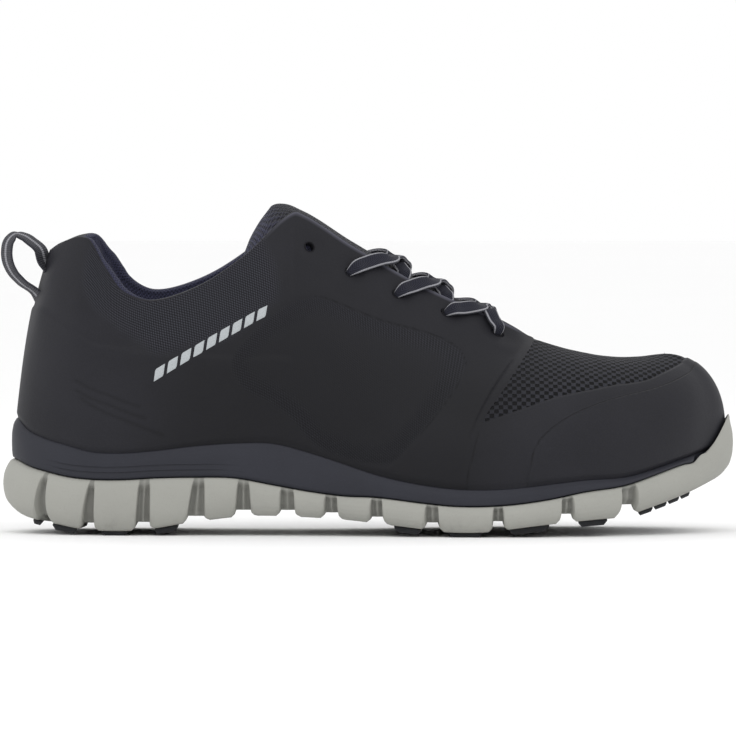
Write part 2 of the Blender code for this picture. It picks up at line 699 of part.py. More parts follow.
def make_upper():
    """One closed wall: the outer face, the inner face, the rim round the collar and throat, and
    the rim on the band. Ahead of the throat both sides meet on the ridge."""
    columns = doubled(np.arange(0, LAST_SECTION + 0.01, 0.5), (FILM_REAR, THROAT_END, CAP_REAR),
                      0.02)
    columns = [THROAT_END if abs(u - THROAT_END - 0.02) < 1e-6 else u for u in columns]
    ring = sole_ring(columns)
    lines = []
    for u, side in ring:
        rows = upper_rows(u)
        outer = upper_outer(np.full_like(rows, u), rows, side)
        inner = upper_inner(np.full(len(INNER_ROWS), u), np.array(INNER_ROWS), side)
        inner[-1, 2] = outer[0, 2]
        lines.append(np.concatenate([outer, inner]))
    rows = len(lines[0])
    top = len(upper_rows(0.0)) - 1
    faces = []
    for i in range(len(ring)):
        j = (i + 1) % len(ring)
        throat = min(ring[i][0], ring[j][0]) < THROAT_END
        for k in range(rows):
            if k == top and not throat:
                continue
            n = (k + 1) % rows
            faces.append((i * rows + k, j * rows + k, j * rows + n, i * rows + n))
    upper = solid("upper", lines, faces, paint("charcoal film and mesh", (0.023, 0.024, 0.030), 0.75))
    for number, (place, direction) in enumerate(eyelet_places()):
        cut_hole(upper, "eyelet_cut_%02d" % number, place, direction)
    return upper


def eyelet_uv(row):
    """Section and height share of an eyelet, where the outer side's face passes its place."""
    u, v = np.meshgrid(np.linspace(8.6, 13.9, 160), np.linspace(0.5, 0.97, 120), indexing="ij")
    face = upper_point(u, v, LATERAL)
    miss = np.hypot(face[..., 0] - SOLE_LENGTH * row[0], face[..., 2] - UPPER_HEIGHT * row[1])
    best = np.unravel_index(np.argmin(miss), miss.shape)
    return float(u[best]), float(v[best])


def eyelet_places():
    places = []
    for row in EYELETS:
        u, v = eyelet_uv(row)
        for side in (LATERAL, MEDIAL):
            places.append((upper_point(u, v, side), upper_normal(u, v, side)))
    return places


def cut_hole(item, name, place, direction):
    """Round hole through the wall, square to its face."""
    mesh = bpy.data.meshes.new(name)
    work = bmesh.new()
    bmesh.ops.create_cone(work, cap_ends=True, segments=10, radius1=EYELET_RADIUS,
                          radius2=EYELET_RADIUS, depth=EYELET_CUT)
    work.to_mesh(mesh)
    work.free()
    cutter = bpy.data.objects.new(name, mesh)
    bpy.context.collection.objects.link(cutter)
    cutter.rotation_mode = "QUATERNION"
    cutter.rotation_quaternion = Vector(direction).to_track_quat("Z", "Y")
    cutter.location = Vector(np.asarray(place) + ORIGIN_SHIFT)
    cutter.hide_render = True
    cutter.display_type = "WIRE"
    cut = item.modifiers.new(name, "BOOLEAN")
    cut.operation = "DIFFERENCE"
    cut.solver = "EXACT"
    cut.object = cutter


def tongue_crown(u):
    x = SOLE_LENGTH * column_at(TONGUE, 1, u)
    return np.stack([x, centre_y(x), UPPER_HEIGHT * column_at(TONGUE, 2, u)], axis=-1)


def tongue_top(u, across):
    """Upper face of the tongue: an arc between the eyestays, then on under them."""
    side = MEDIAL if across > 0 else LATERAL
    far = abs(across)
    if u >= THROAT_END:
        return upper_inner(u, 1 - 0.34 * far, side, TONGUE_CLEAR)
    edge = upper_inner(u, 1.0, side, TONGUE_CLEAR)
    if far > TONGUE_OPEN:
        tuck = (far - TONGUE_OPEN) / (1 - TONGUE_OPEN) * float(column_at(TONGUE, 3, u))
        return upper_inner(u, 1 - tuck, side, TONGUE_CLEAR)
    share = far / TONGUE_OPEN
    crown = tongue_crown(u)
    return crown + (edge - crown) * np.array([share ** 2, share, share ** 2])


def make_tongue():
    top = np.array([[tongue_top(u, across) for across in TONGUE_ACROSS] for u in TONGUE_SECTIONS])
    along, over = np.gradient(top, axis=0), np.gradient(top, axis=1)
    normal = np.cross(along, over)
    normal /= np.linalg.norm(normal, axis=-1, keepdims=True)
    full = np.interp(TONGUE_SECTIONS, *TONGUE_THIN)[:, None]
    rounded = np.minimum(1, (1 - np.abs(TONGUE_ACROSS[None, :])) / 0.5)
    depth = TONGUE_EDGE + (TONGUE_THICKNESS - TONGUE_EDGE) * rounded * full
    bottom = top - normal * depth[..., None]
    rows, width = top.shape[:2]
    count = rows * width
    faces = []
    for i in range(rows - 1):
        for j in range(width - 1):
            a = i * width + j
            quad = (a, a + 1, a + width + 1, a + width)
            faces.append(quad)
            faces.append(tuple(count + k for k in reversed(quad)))
    border = [j for j in range(width)] + [i * width + width - 1 for i in range(1, rows)]
    border += [(rows - 1) * width + j for j in range(width - 2, -1, -1)]
    border += [i * width for i in range(rows - 2, 0, -1)]
    for a, b in zip(border, border[1:] + border[:1]):
        faces.append((a, b, count + b, count + a))
    return solid("tongue", np.concatenate([top.reshape(-1, 3), bottom.reshape(-1, 3)]), faces,
                 paint("navy mesh", (0.026, 0.027, 0.055), 0.85))


def ribbon(name, path, facing, width, thickness, material):
    """Flat strip along a path, its broad face towards the facing directions."""
    path, facing = np.asarray(path), np.asarray(facing, dtype=float)
    ahead = np.gradient(path, axis=0)
    ahead /= np.linalg.norm(ahead, axis=1, keepdims=True)
    across = np.cross(ahead, facing)
    across /= np.linalg.norm(across, axis=1, keepdims=True)
    face = np.cross(across, ahead)
    half, deep = across * width / 2, face * thickness / 2
    lines = np.stack([path - half - deep, path + half - deep, path + half + deep,
                      path - half + deep], axis=1)
    faces = ring_faces(len(path), 4, False, True)
    faces += [(0, 1, 2, 3), tuple(4 * (len(path) - 1) + k for k in (3, 2, 1, 0))]
    return solid(name, lines, faces, material)


def lace_route(crossing, near, above):
    """Route of one strand from its first eyelet on the near side to its last on the other. The
    lowest crossing starts on its eyelet, the others come from under the eyestay."""
    start, end, first_edge, middle, second_edge = crossing
    (u_a, v_a), (u_b, v_b) = eyelet_uv(EYELETS[start]), eyelet_uv(EYELETS[end])
    up = np.array([0.0, 0.0, 1.0])
    points, facing = [], []

    def on_upper(share, v, side):
        u = u_a + (u_b - u_a) * share
        normal = upper_normal(u, v, side)
        points.append(upper_point(u, v, side) + normal * (LACE_LIFT + EDGE_HUMP * (v >= 1)))
        facing.append(normal)

    def on_tongue(share, across):
        u = u_a + (u_b - u_a) * share
        lift = LACE_THICKNESS / 2 + LACE_CLEAR + above * (1 - abs(across) / TONGUE_OPEN)
        point = tongue_top(u, near * across) + up * lift
        taut = upper_point(u, 1.0, near)[2] + LACE_LIFT * (1.5 - 3 * abs(across)) + above
        point[2] = max(point[2], taut)
        points.append(point)
        facing.append(up)

    if start == len(EYELETS) - 1:
        on_upper(0.0, v_a, near)
        on_upper(first_edge, 1.0, near)
    else:
        on_tongue(first_edge, 0.40)
    on_tongue((first_edge + middle) / 2, 0.22)
    on_tongue(middle, 0.0)
    on_tongue((middle + second_edge) / 2, -0.22)
    on_upper(second_edge, 1.0, -near)
    on_upper(1.0, v_b, -near)
    knots = np.arange(len(points))
    at = np.linspace(0, len(points) - 1, 13)
    route = np.stack([smooth(at, knots, np.array(points)[:, k]) for k in range(3)], axis=1)
    face = np.stack([np.interp(at, knots, np.array(facing)[:, k]) for k in range(3)], axis=1)
    return route, face


def make_laces():
    cloth = paint("navy lace", (0.020, 0.021, 0.040), 0.8)
    crossings = []
    for number, crossing in enumerate(CROSSINGS, start=1):
        under = ribbon("lace_cross_%d" % number, *lace_route(crossing, LATERAL, 0.0),
                       LACE_WIDTH, LACE_THICKNESS, cloth)
        over = ribbon("lace_over_%d" % number, *lace_route(crossing, MEDIAL, LACE_OVER),
                      LACE_WIDTH, LACE_THICKNESS, cloth)
        over.hide_render = True
        over.display_type = "WIRE"
        join = under.modifiers.new("join", "BOOLEAN")
        join.operation = "UNION"
        join.solver = "EXACT"
        join.object = over
        crossings.append(under)
    return crossings


def make_pull_loop():
    anchor = upper_outer(0.0, LOOP_SEAM, LATERAL, GAP)
    at = np.linspace(0, len(LOOP) - 1, 25)
    knots = np.arange(len(LOOP))
    x = anchor[0] - LOOP_REACH * smooth(at, knots, column(LOOP, 0))
    z = anchor[2] + LOOP_REACH * smooth(at, knots, column(LOOP, 1))
    path = np.stack([x, 0 * x, z], axis=1)
    facing = np.cross((0.0, 1.0, 0.0), np.gradient(path, axis=0))
    facing /= np.linalg.norm(facing, axis=1, keepdims=True)
    tilt = np.radians(LOOP_TILT) * np.sin(np.linspace(0, math.pi, len(path)))[:, None]
    facing = facing * np.cos(tilt) + np.array([0.0, LATERAL, 0.0]) * np.sin(tilt)
    return ribbon("pull_loop", path, facing, LOOP_WIDTH, LOOP_THICKNESS,
                  paint("webbing", (0.05, 0.05, 0.06), 0.8))


def clear_scene():
    for item in list(bpy.data.objects):
        bpy.data.objects.remove(item, do_unlink=True)


def middle_shift():
    """Shift that puts the origin under the middle of the shoe's length and width."""
    turned = np.linspace(0, 1, 200)
    widest = [outline_flat(turned, side)[1] for side in (LATERAL, MEDIAL)]
    return np.array([-SOLE_LENGTH / 2, -(widest[0].min() + widest[1].max()) / 2, 0.0])


ORIGIN_SHIFT = middle_shift()


def main():
    clear_scene()
    make_midsole()
    make_band()
    make_insole()
    make_pads()
    make_upper()
    make_tongue()
    make_laces()
    make_pull_loop()


main()
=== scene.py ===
"""Right safety sneaker: its looks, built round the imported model.

Metres, +Z up, toe along +X, the wearer's outer side along -Y. The shapes repeat the functions that
the solids were made with: the outline of the sole, and the section of the upper, a Bezier curve
from the feather line to the top line. A point of the upper is named by its section u, counted from
the heel to the toe, and its share v of the way from the feather line to the top line.
"""

import math

import bmesh
import bpy
import numpy as np
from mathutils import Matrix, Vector


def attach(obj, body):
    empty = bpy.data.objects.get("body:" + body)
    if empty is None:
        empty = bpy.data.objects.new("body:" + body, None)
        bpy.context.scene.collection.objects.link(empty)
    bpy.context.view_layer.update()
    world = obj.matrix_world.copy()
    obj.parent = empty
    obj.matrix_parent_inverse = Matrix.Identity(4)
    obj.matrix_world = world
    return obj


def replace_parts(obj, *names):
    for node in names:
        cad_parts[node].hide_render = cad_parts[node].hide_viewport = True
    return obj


bl_info = {
    "name": "Safety sneaker",
    "version": (1, 0, 0),
    "blender": (4, 5, 0),
    "location": "3D View > Sidebar > Sneaker",
    "description": "Builds the upper, sole, tongue, laces and trim of a safety sneaker",
    "category": "Object",
}

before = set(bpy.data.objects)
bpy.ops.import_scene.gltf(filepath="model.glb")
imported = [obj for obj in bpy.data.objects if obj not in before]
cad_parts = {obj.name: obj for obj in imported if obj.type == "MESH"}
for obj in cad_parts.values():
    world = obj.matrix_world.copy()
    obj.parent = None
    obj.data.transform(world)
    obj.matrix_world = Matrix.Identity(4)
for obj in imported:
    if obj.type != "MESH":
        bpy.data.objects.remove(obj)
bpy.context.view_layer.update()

SOLE_LENGTH = 0.300
BALL_WIDTH = 0.108
SOLE_HEIGHT = 0.048
UPPER_HEIGHT = 0.134
TOE_SWING = 0.0108
WALL = 0.0024
COLLAR_PAD = 0.0045
OVERLAY = 0.0007
GAP = 0.0003
BAND_FLOOR = 0.003
RIM_INNER = WALL + 0.0008
BED_CORNER = 0.006
BUMPER_LIP = 0.0009
BUMPER_START = 0.960
BUMPER_BLEND = 0.014
BAND_SHY = 0.0018
EDGE_STEP = 0.001
GROOVE_DEPTH = 0.0036
INSOLE_THICKNESS = 0.0035
TONGUE_CLEAR = 0.0006
TONGUE_OPEN = 0.55
EYELET_RADIUS = 0.0019
LACE_THICKNESS = 0.0016
LACE_LIFT = OVERLAY + LACE_THICKNESS / 2 + 0.0004
LOOP_THICKNESS = 0.0012
MM = 0.001
LATERAL, MEDIAL = -1, 1
SIDES = (LATERAL, MEDIAL)

# Outline of the sole: place along its length, and each side as a share of the ball width
OUTLINE = (
    # along, lateral, medial
    (0.000, 0.000, 0.000),
    (0.030, -0.205, 0.205),
    (0.070, -0.290, 0.288),
    (0.120, -0.340, 0.332),
    (0.200, -0.362, 0.346),
    (0.300, -0.370, 0.318),
    (0.400, -0.388, 0.292),
    (0.500, -0.434, 0.322),
    (0.600, -0.490, 0.408),
    (0.680, -0.512, 0.472),
    (0.760, -0.486, 0.498),
    (0.830, -0.415, 0.486),
    (0.890, -0.318, 0.444),
    (0.940, -0.200, 0.378),
    (0.975, -0.065, 0.292),
    (1.000, 0.100, 0.100),
)

# Lines round the sole, as shares of its height: top of the grey foam, feather line, foot bed
EDGE_LINES = (
    # along, grey_top, feather, floor
    (0.000, 0.646, 0.980, 0.594),
    (0.020, 0.615, 0.977, 0.594),
    (0.036, 0.573, 0.883, 0.590),
    (0.060, 0.533, 0.813, 0.583),
    (0.090, 0.492, 0.758, 0.579),
    (0.125, 0.471, 0.702, 0.573),
    (0.165, 0.469, 0.692, 0.563),
    (0.210, 0.485, 0.713, 0.552),
    (0.260, 0.492, 0.750, 0.538),
    (0.320, 0.485, 0.777, 0.517),
    (0.370, 0.429, 0.775, 0.490),
    (0.423, 0.371, 0.692, 0.450),
    (0.466, 0.338, 0.606, 0.413),
    (0.507, 0.329, 0.521, 0.379),
    (0.572, 0.283, 0.433, 0.325),
    (0.611, 0.260, 0.402, 0.300),
    (0.687, 0.269, 0.402, 0.283),
    (0.745, 0.317, 0.442, 0.304),
    (0.788, 0.371, 0.471, 0.333),
    (0.854, 0.435, 0.500, 0.385),
    (0.884, 0.496, 0.550, 0.427),
    (0.925, 0.583, 0.631, 0.490),
    (0.956, 0.635, 0.688, 0.542),
    (0.974, 0.750, 0.708, 0.573),
    (0.990, 0.906, 0.719, 0.594),
    (1.000, 1.000, 0.725, 0.600),
)

# Underside of the grey blocks, as a share of the sole's height: heel bevel, arch and toe spring
BLOCK_LINE = (
    # along, underside
    (0.000, 0.260),
    (0.012, 0.215),
    (0.026, 0.160),
    (0.045, 0.125),
    (0.081, 0.085),
    (0.105, 0.057),
    (0.125, 0.044),
    (0.185, 0.044),
    (0.215, 0.066),
    (0.250, 0.104),
    (0.290, 0.138),
    (0.330, 0.165),
    (0.420, 0.158),
    (0.480, 0.133),
    (0.520, 0.104),
    (0.560, 0.075),
    (0.600, 0.044),
    (0.660, 0.044),
    (0.700, 0.075),
    (0.745, 0.108),
    (0.800, 0.140),
    (0.845, 0.165),
    (0.880, 0.229),
    (0.920, 0.313),
    (0.960, 0.410),
    (0.985, 0.480),
    (1.000, 0.540),
)

# How far each edge lies inside the outline, as shares of the ball width
INSETS = (
    # along, upper, band, grey_top, foot
    (0.000, 0.0570, 0.0325, 0.0343, 0.0560),
    (0.050, 0.0417, 0.0240, 0.0260, 0.0450),
    (0.150, 0.0315, 0.0167, 0.0185, 0.0325),
    (0.500, 0.0296, 0.0148, 0.0167, 0.0296),
    (0.850, 0.0296, 0.0148, 0.0167, 0.0340),
    (0.950, 0.0380, 0.0157, 0.0185, 0.0480),
    (1.000, 0.0460, 0.0190, 0.0240, 0.0640),
)

# Cross grooves: where each starts and ends at the floor and at the band, and its ceiling as a
# share of the sole's height
GROOVES = (
    # low_start, low_end, high_start, high_end, ceiling
    (0.0410, 0.0587, 0.0560, 0.0615, 0.160),
    (0.1090, 0.1257, 0.1216, 0.1280, 0.106),
    (0.1844, 0.2029, 0.1899, 0.2036, 0.115),
    (0.2541, 0.2773, 0.2637, 0.2773, 0.167),
    (0.3197, 0.3402, 0.3238, 0.3374, 0.219),
    (0.3798, 0.3989, 0.3811, 0.3975, 0.219),
    (0.4393, 0.4570, 0.4407, 0.4556, 0.200),
    (0.5014, 0.5178, 0.5027, 0.5164, 0.167),
    (0.5751, 0.5936, 0.5765, 0.5922, 0.123),
    (0.6667, 0.6817, 0.6680, 0.6803, 0.137),
    (0.7604, 0.7773, 0.7617, 0.7760, 0.196),
    (0.8429, 0.8648, 0.8443, 0.8634, 0.265),
)

# Sections of the upper, from the heel's centre to the toe's. foot is the place along the outline,
# top_along that of the top line, gap its distance from the centre line as a share of the ball
# width, height and rise (of the inner side) shares of the upper's height. lean and drop are the
# curve's angles at its ends, in degrees, and low and high its handles as shares of the chord.
# cap and film are where the toe cap's edge and the film's edge cross the section.
SECTIONS = (
    # foot, top_along, gap, height, rise, lean, low, drop, high, cap, film
    (0.000, 0.0642, 0.000, 0.863, 0.000, -6, 0.33, 70, 0.33, 0.16, 0.65),
    (0.010, 0.0840, 0.160, 0.889, 0.002, -4, 0.33, 73, 0.33, 0.16, 0.62),
    (0.045, 0.1175, 0.255, 0.907, 0.010, 2, 0.34, 78, 0.33, 0.16, 0.56),
    (0.105, 0.1420, 0.284, 0.812, 0.034, 6, 0.35, 80, 0.33, 0.16, 0.57),
    (0.158, 0.1680, 0.292, 0.735, 0.030, 7, 0.35, 80, 0.33, 0.16, 0.65),
    (0.214, 0.2117, 0.287, 0.709, 0.024, 7, 0.36, 80, 0.33, 0.16, 0.64),
    (0.276, 0.2760, 0.271, 0.761, 0.018, 7, 0.36, 76, 0.33, 0.16, 0.54),
    (0.337, 0.3374, 0.236, 0.857, 0.010, 6, 0.38, 72, 0.34, 0.16, 0.42),
    (0.385, 0.3866, 0.194, 0.963, 0.008, 6, 0.38, 68, 0.34, 0.16, 0.36),
    (0.422, 0.4139, 0.148, 0.981, 0.008, 6, 0.38, 64, 0.34, 0.16, 0.34),
    (0.474, 0.4768, 0.116, 0.892, 0.010, 7, 0.38, 60, 0.34, 0.16, 0.33),
    (0.531, 0.5587, 0.097, 0.784, 0.010, 8, 0.38, 56, 0.34, 0.16, 0.33),
    (0.586, 0.6448, 0.083, 0.681, 0.006, 10, 0.38, 48, 0.34, 0.15, 0.35),
    (0.621, 0.7008, 0.056, 0.616, 0.002, 11, 0.38, 34, 0.36, 0.13, 0.39),
    (0.633, 0.7240, 0.000, 0.590, 0.000, 11, 0.38, 12, 0.38, 0.12, 0.33),
    (0.686, 0.7609, 0.000, 0.563, 0.000, 12, 0.40, 4, 0.41, 0.12, 0.41),
    (0.754, 0.8046, 0.000, 0.541, 0.000, 12, 0.42, 0, 0.43, 0.34, 0.49),
    (0.822, 0.8402, 0.000, 0.532, 0.000, 12, 0.44, 0, 0.44, 0.45, 0.57),
    (0.885, 0.8675, 0.000, 0.533, 0.000, 11, 0.46, 0, 0.44, 0.52, 0.64),
    (0.945, 0.8866, 0.000, 0.537, 0.000, 10, 0.48, 0, 0.42, 0.585, 0.715),
    (0.985, 0.9003, 0.000, 0.540, 0.000, 10, 0.49, 0, 0.38, 0.665, 0.81),
    (1.000, 0.9057, 0.000, 0.541, 0.000, 10, 0.49, 0, 0.37, 0.73, 0.875),
)
LAST_SECTION = len(SECTIONS) - 1
THROAT_END = 14
FILM_REAR = 8.4
CAP_REAR = 15.45

# Tongue: section it belongs to, crown's place and height, and how far it tucks under the eyestay
TONGUE = (
    # section, crown_along, crown_height, tuck
    (6.60, 0.3330, 0.858, 0.03),
    (6.90, 0.3420, 0.905, 0.03),
    (7.15, 0.3525, 0.945, 0.03),
    (7.40, 0.3640, 0.979, 0.03),
    (7.80, 0.3700, 0.995, 0.03),
    (8.20, 0.3798, 0.999, 0.03),
    (8.60, 0.3940, 0.994, 0.05),
    (9.00, 0.4140, 0.972, 0.08),
    (10.0, 0.4768, 0.882, 0.13),
    (11.0, 0.5587, 0.770, 0.13),
    (12.0, 0.6448, 0.666, 0.13),
    (13.0, 0.7008, 0.594, 0.14),
    (13.7, 0.7170, 0.572, 0.16),
)

# Crossings of the lace, from the toe up: the eyelet rows that each joins, and how far along it is
# at the first edge of the eyestay, at the middle of the tongue and at the second edge
CROSSINGS = (
    # start, end, first_edge, middle, second_edge
    (4, 3, 0.27, 0.38, 0.48),
    (3, 2, 0.04, 0.21, 0.37),
    (2, 1, -0.10, 0.06, 0.22),
)

# Pull loop, from the collar to the counter: distances behind and above its upper seam, as shares
# of its reach
LOOP_REACH = 0.0175
LOOP_SHY = 0.0010
LOOP_SEAM = 0.95
LOOP = (
    # behind, above
    (0.035, 0.020),
    (0.160, 0.200),
    (0.360, 0.370),
    (0.560, 0.490),
    (0.760, 0.530),
    (0.920, 0.400),
    (0.985, 0.140),
    (0.950, -0.120),
    (0.840, -0.340),
    (0.630, -0.560),
    (0.345, -0.765),
)


def column(table, number):
    return np.array([row[number] for row in table], dtype=float)


def smooth(at, stops, values):
    """Cubic curve through a table's points, each with the slope of a parabola through its
    neighbours."""
    stops, values = np.asarray(stops, dtype=float), np.asarray(values, dtype=float)
    steps = np.diff(stops)
    rates = np.diff(values) / steps
    slopes = np.empty_like(values)
    slopes[0], slopes[-1] = rates[0], rates[-1]
    slopes[1:-1] = (steps[1:] * rates[:-1] + steps[:-1] * rates[1:]) / (steps[:-1] + steps[1:])
    at = np.clip(np.asarray(at, dtype=float), stops[0], stops[-1])
    i = np.clip(np.searchsorted(stops, at, side="right") - 1, 0, len(stops) - 2)
    t = (at - stops[i]) / steps[i]
    return ((1 + 2 * t) * (1 - t) ** 2 * values[i] + t * (1 - t) ** 2 * steps[i] * slopes[i]
            + t * t * (3 - 2 * t) * values[i + 1] + t * t * (t - 1) * steps[i] * slopes[i + 1])


def turn(along):
    """Share of a half turn round the shoe, so that the round ends get even steps."""
    return np.arccos(1 - 2 * np.asarray(along, dtype=float)) / math.pi


def column_at(table, number, at):
    return smooth(at, column(table, 0), column(table, number))


def even_stations(count):
    """Places along the shoe at even steps of the half turn round it."""
    return (1 - np.cos(np.linspace(0, math.pi, count))) / 2


def unit(vectors):
    return vectors / np.maximum(np.linalg.norm(vectors, axis=-1, keepdims=True), 1e-12)


def walk(points):
    """Distance along a row of points up to each of them."""
    return np.concatenate([[0], np.cumsum(np.linalg.norm(np.diff(points, axis=0), axis=-1))])


def paired(u, v):
    return np.broadcast_arrays(np.asarray(u, dtype=float), np.asarray(v, dtype=float))


def squared(value, power):
    """Power that keeps the sign. On a sine and a cosine it turns a circle into a soft square."""
    return np.sign(value) * np.abs(value) ** power


def centre_y(x):
    """Centre line of the shoe, which swings towards the big toe."""
    return TOE_SWING * (x / SOLE_LENGTH) ** 2


def outline_flat(turned, side):
    x = SOLE_LENGTH * (1 - np.cos(math.pi * turned)) / 2
    y = BALL_WIDTH * smooth(turned, turn(column(OUTLINE, 0)), column(OUTLINE, 1 if side < 0 else 2))
    return x, y


def outline(turned, side):
    """Point of the outline and the direction that leads into the shoe, square to the outline."""
    turned = np.asarray(turned, dtype=float)
    x, y = outline_flat(turned, side)
    step = 1e-4
    ahead = outline_flat(np.minimum(turned + step, 1), side)
    behind = outline_flat(np.maximum(turned - step, 0), side)
    dx, dy = ahead[0] - behind[0], ahead[1] - behind[1]
    length = np.hypot(dx, dy)
    inward = np.stack([side * dy / length, -side * dx / length, 0 * dx], axis=-1)
    ends = (turned <= 0) | (turned >= 1)
    inward[ends] = np.stack([np.where(turned <= 0, 1, -1), 0 * turned, 0 * turned], axis=-1)[ends]
    return np.stack([x, y, 0 * x], axis=-1), inward


def inset(turned, side, number, extra=0.0):
    """Point inside the outline by a column of INSETS and an extra distance."""
    point, inward = outline(turned, side)
    far = BALL_WIDTH * column_at(INSETS, number, point[..., 0] / SOLE_LENGTH) + extra
    return point + inward * np.asarray(far)[..., None]


def level(point, number):
    return SOLE_HEIGHT * column_at(EDGE_LINES, number, point[..., 0] / SOLE_LENGTH)


def underside(point):
    return SOLE_HEIGHT * column_at(BLOCK_LINE, 1, point[..., 0] / SOLE_LENGTH)


def with_z(point, z):
    point = np.array(point, dtype=float)
    point[..., 2] = z
    return point


def edge_at(turned, side, number, z, extra=0.0):
    """Point inside the outline, as in inset, at a height."""
    return with_z(inset(turned, side, number, extra), z)


def spine(turned):
    """Point of the centre line that a station of the outline fans out from."""
    near, far, squeeze = 0.12, 0.86, 0.35
    along = (1 - np.cos(math.pi * np.asarray(turned, dtype=float))) / 2
    x = np.where(along < near, near - (near - along) * squeeze, along)
    x = SOLE_LENGTH * np.where(along > far, far + (along - far) * squeeze, x)
    return np.stack([x, centre_y(x), 0 * x], axis=-1)


def section_value(u, number):
    return smooth(u, np.arange(LAST_SECTION + 1), column(SECTIONS, number))


def foot_turn(u):
    """Share of the half turn round the shoe where a section's foot stands."""
    return smooth(u, np.arange(LAST_SECTION + 1), turn(column(SECTIONS, 0)))


def upper_point(u, v, side):
    """Outer face of the upper: u counts sections from the heel to the toe, and v goes from the
    feather line, 0, to the top line, 1, along a Bezier curve."""
    u, v = paired(u, v)
    turned = np.clip(foot_turn(u), 0, 1)
    outward = -outline(turned, side)[1]
    foot = inset(turned, side, 1)
    foot = with_z(foot, level(foot, 2) + GAP)
    top_x = SOLE_LENGTH * section_value(u, 1)
    gap = BALL_WIDTH * np.where(u >= THROAT_END, 0, np.maximum(section_value(u, 2), 0))
    rise = UPPER_HEIGHT * np.where(u >= THROAT_END, 0, section_value(u, 4)) * (side > 0)
    top = np.stack([top_x, centre_y(top_x) + side * gap,
                    UPPER_HEIGHT * section_value(u, 3) + rise], axis=-1)
    chord = np.linalg.norm(top - foot, axis=-1)
    lean, drop = np.radians(section_value(u, 5)), np.radians(section_value(u, 7))
    up = np.array([0.0, 0.0, 1.0])
    low = (section_value(u, 6) * chord)[..., None]
    high = (section_value(u, 8) * chord)[..., None]
    first = foot + low * (up * np.cos(lean)[..., None] + outward * np.sin(lean)[..., None])
    last = top + high * (outward * np.cos(drop)[..., None] - up * np.sin(drop)[..., None])
    v = v[..., None]
    return ((1 - v) ** 3 * foot + 3 * (1 - v) ** 2 * v * first
            + 3 * (1 - v) * v * v * last + v ** 3 * top)


def upper_normal(u, v, side):
    """Direction out of the upper, square to its face."""
    u, v = paired(u, v)
    du, dv = 0.01, 0.002
    along = (upper_point(np.minimum(u + du, LAST_SECTION), v, side)
             - upper_point(np.maximum(u - du, 0), v, side))
    across = (upper_point(u, np.minimum(v + dv, 1), side)
              - upper_point(u, np.maximum(v - dv, 0), side))
    normal = -side * np.cross(along, across)
    normal[u <= 0, 1] = 0
    normal[(u >= THROAT_END) & (v >= 1)] = (0, 0, 1)
    normal[v <= 0, 2] = 0
    return unit(normal)


def lifted(u, v, side, height):
    """Face of the upper moved out by a height, or in by a negative one."""
    return upper_point(u, v, side) + upper_normal(u, v, side) * height[..., None]


def collar_padding(u, v):
    """Extra wall at the padded collar, fading out down the ankle and towards the throat."""
    down = np.clip((v - 0.55) / 0.25, 0, 1)
    rim = 1 - 0.45 * np.clip((v - 0.9) / 0.1, 0, 1)
    ahead = np.clip((7.6 - u) / 1.5, 0, 1)
    return COLLAR_PAD * (down * down * (3 - 2 * down)) * rim * (ahead * ahead * (3 - 2 * ahead))


def film_layers(u, v):
    """Number of film layers: counter, saddle and eyestay, front rand, and the toe cap on it."""
    saddle = (u > FILM_REAR) & (u < THROAT_END)
    return (1.0 * (saddle | (v < section_value(u, 10)))
            + 1.0 * ((u > CAP_REAR) & (v < section_value(u, 9))))


def upper_outer(u, v, side, lift=0.0):
    """Outer face with its film layers, or a face that far above it."""
    u, v = paired(u, v)
    return lifted(u, v, side, OVERLAY * film_layers(u, v) + lift)


def upper_inner(u, v, side, extra=0.0):
    """Inner face of the wall, or a face that far inside it."""
    u, v = paired(u, v)
    return lifted(u, v, side, -(WALL + collar_padding(u, v) + extra))


# Eyelet places on the outer face
EYELET_PLACES = (
    # section, share
    (9.15, 0.852),
    (10.01, 0.848),
    (10.82, 0.870),
    (11.58, 0.902),
    (12.53, 0.924),
)

# Closed lines on the outer face that bound its parts, as section and share. A share outside 0 to
# 1 lies beyond the face's edge.
MESH_VAMP = ((14.11, 1.15), (14.11, 0.942), (14.26, 0.523), (14.05, 0.315), (15.52, 0.455),
             (16.69, 0.547), (18.1, 0.650), (19.49, 0.750), (20.2, 0.790), (20.7, 0.815),
             (21.0, 0.825), (22.0, 0.825), (22.0, 1.15))
TOE_CAP = ((15.43, -0.2), (15.43, 0.168), (15.68, 0.265), (16.14, 0.357), (17.07, 0.469),
           (18.15, 0.521), (19.0, 0.585), (20.0, 0.665), (21.0, 0.730), (22.0, 0.730),
           (22.0, -0.2))
SADDLE_FRONT = ((14.11, 1.15), (14.11, 0.942), (14.26, 0.523), (14.05, 0.315), (14.03, 0.283),
                (14.08, 0.156), (13.89, 0.0), (13.89, -0.2), (8.0, -0.2), (8.0, 1.15))
WINDOW = ((8.79, 0.599), (9.44, 0.659), (9.94, 0.679), (10.59, 0.695), (11.2, 0.740),
          (11.56, 0.752), (11.85, 0.742), (12.05, 0.700), (12.18, 0.627), (12.07, 0.453),
          (11.78, 0.291), (11.39, 0.146), (10.9, 0.030), (9.21, 0.010), (8.55, 0.080),
          (8.00, 0.128), (7.13, 0.212), (6.78, 0.285), (6.50, 0.451), (7.00, 0.560),
          (7.80, 0.590))
COLLAR_KNIT = ((2.60, 1.150), (1.95, 0.900), (2.14, 0.762), (2.67, 0.713), (3.61, 0.745),
               (4.48, 0.711), (4.91, 0.599), (5.69, 0.601), (6.50, 0.539), (7.33, 0.591),
               (8.06, 0.611), (7.95, 0.762), (7.50, 0.950), (7.40, 1.150))
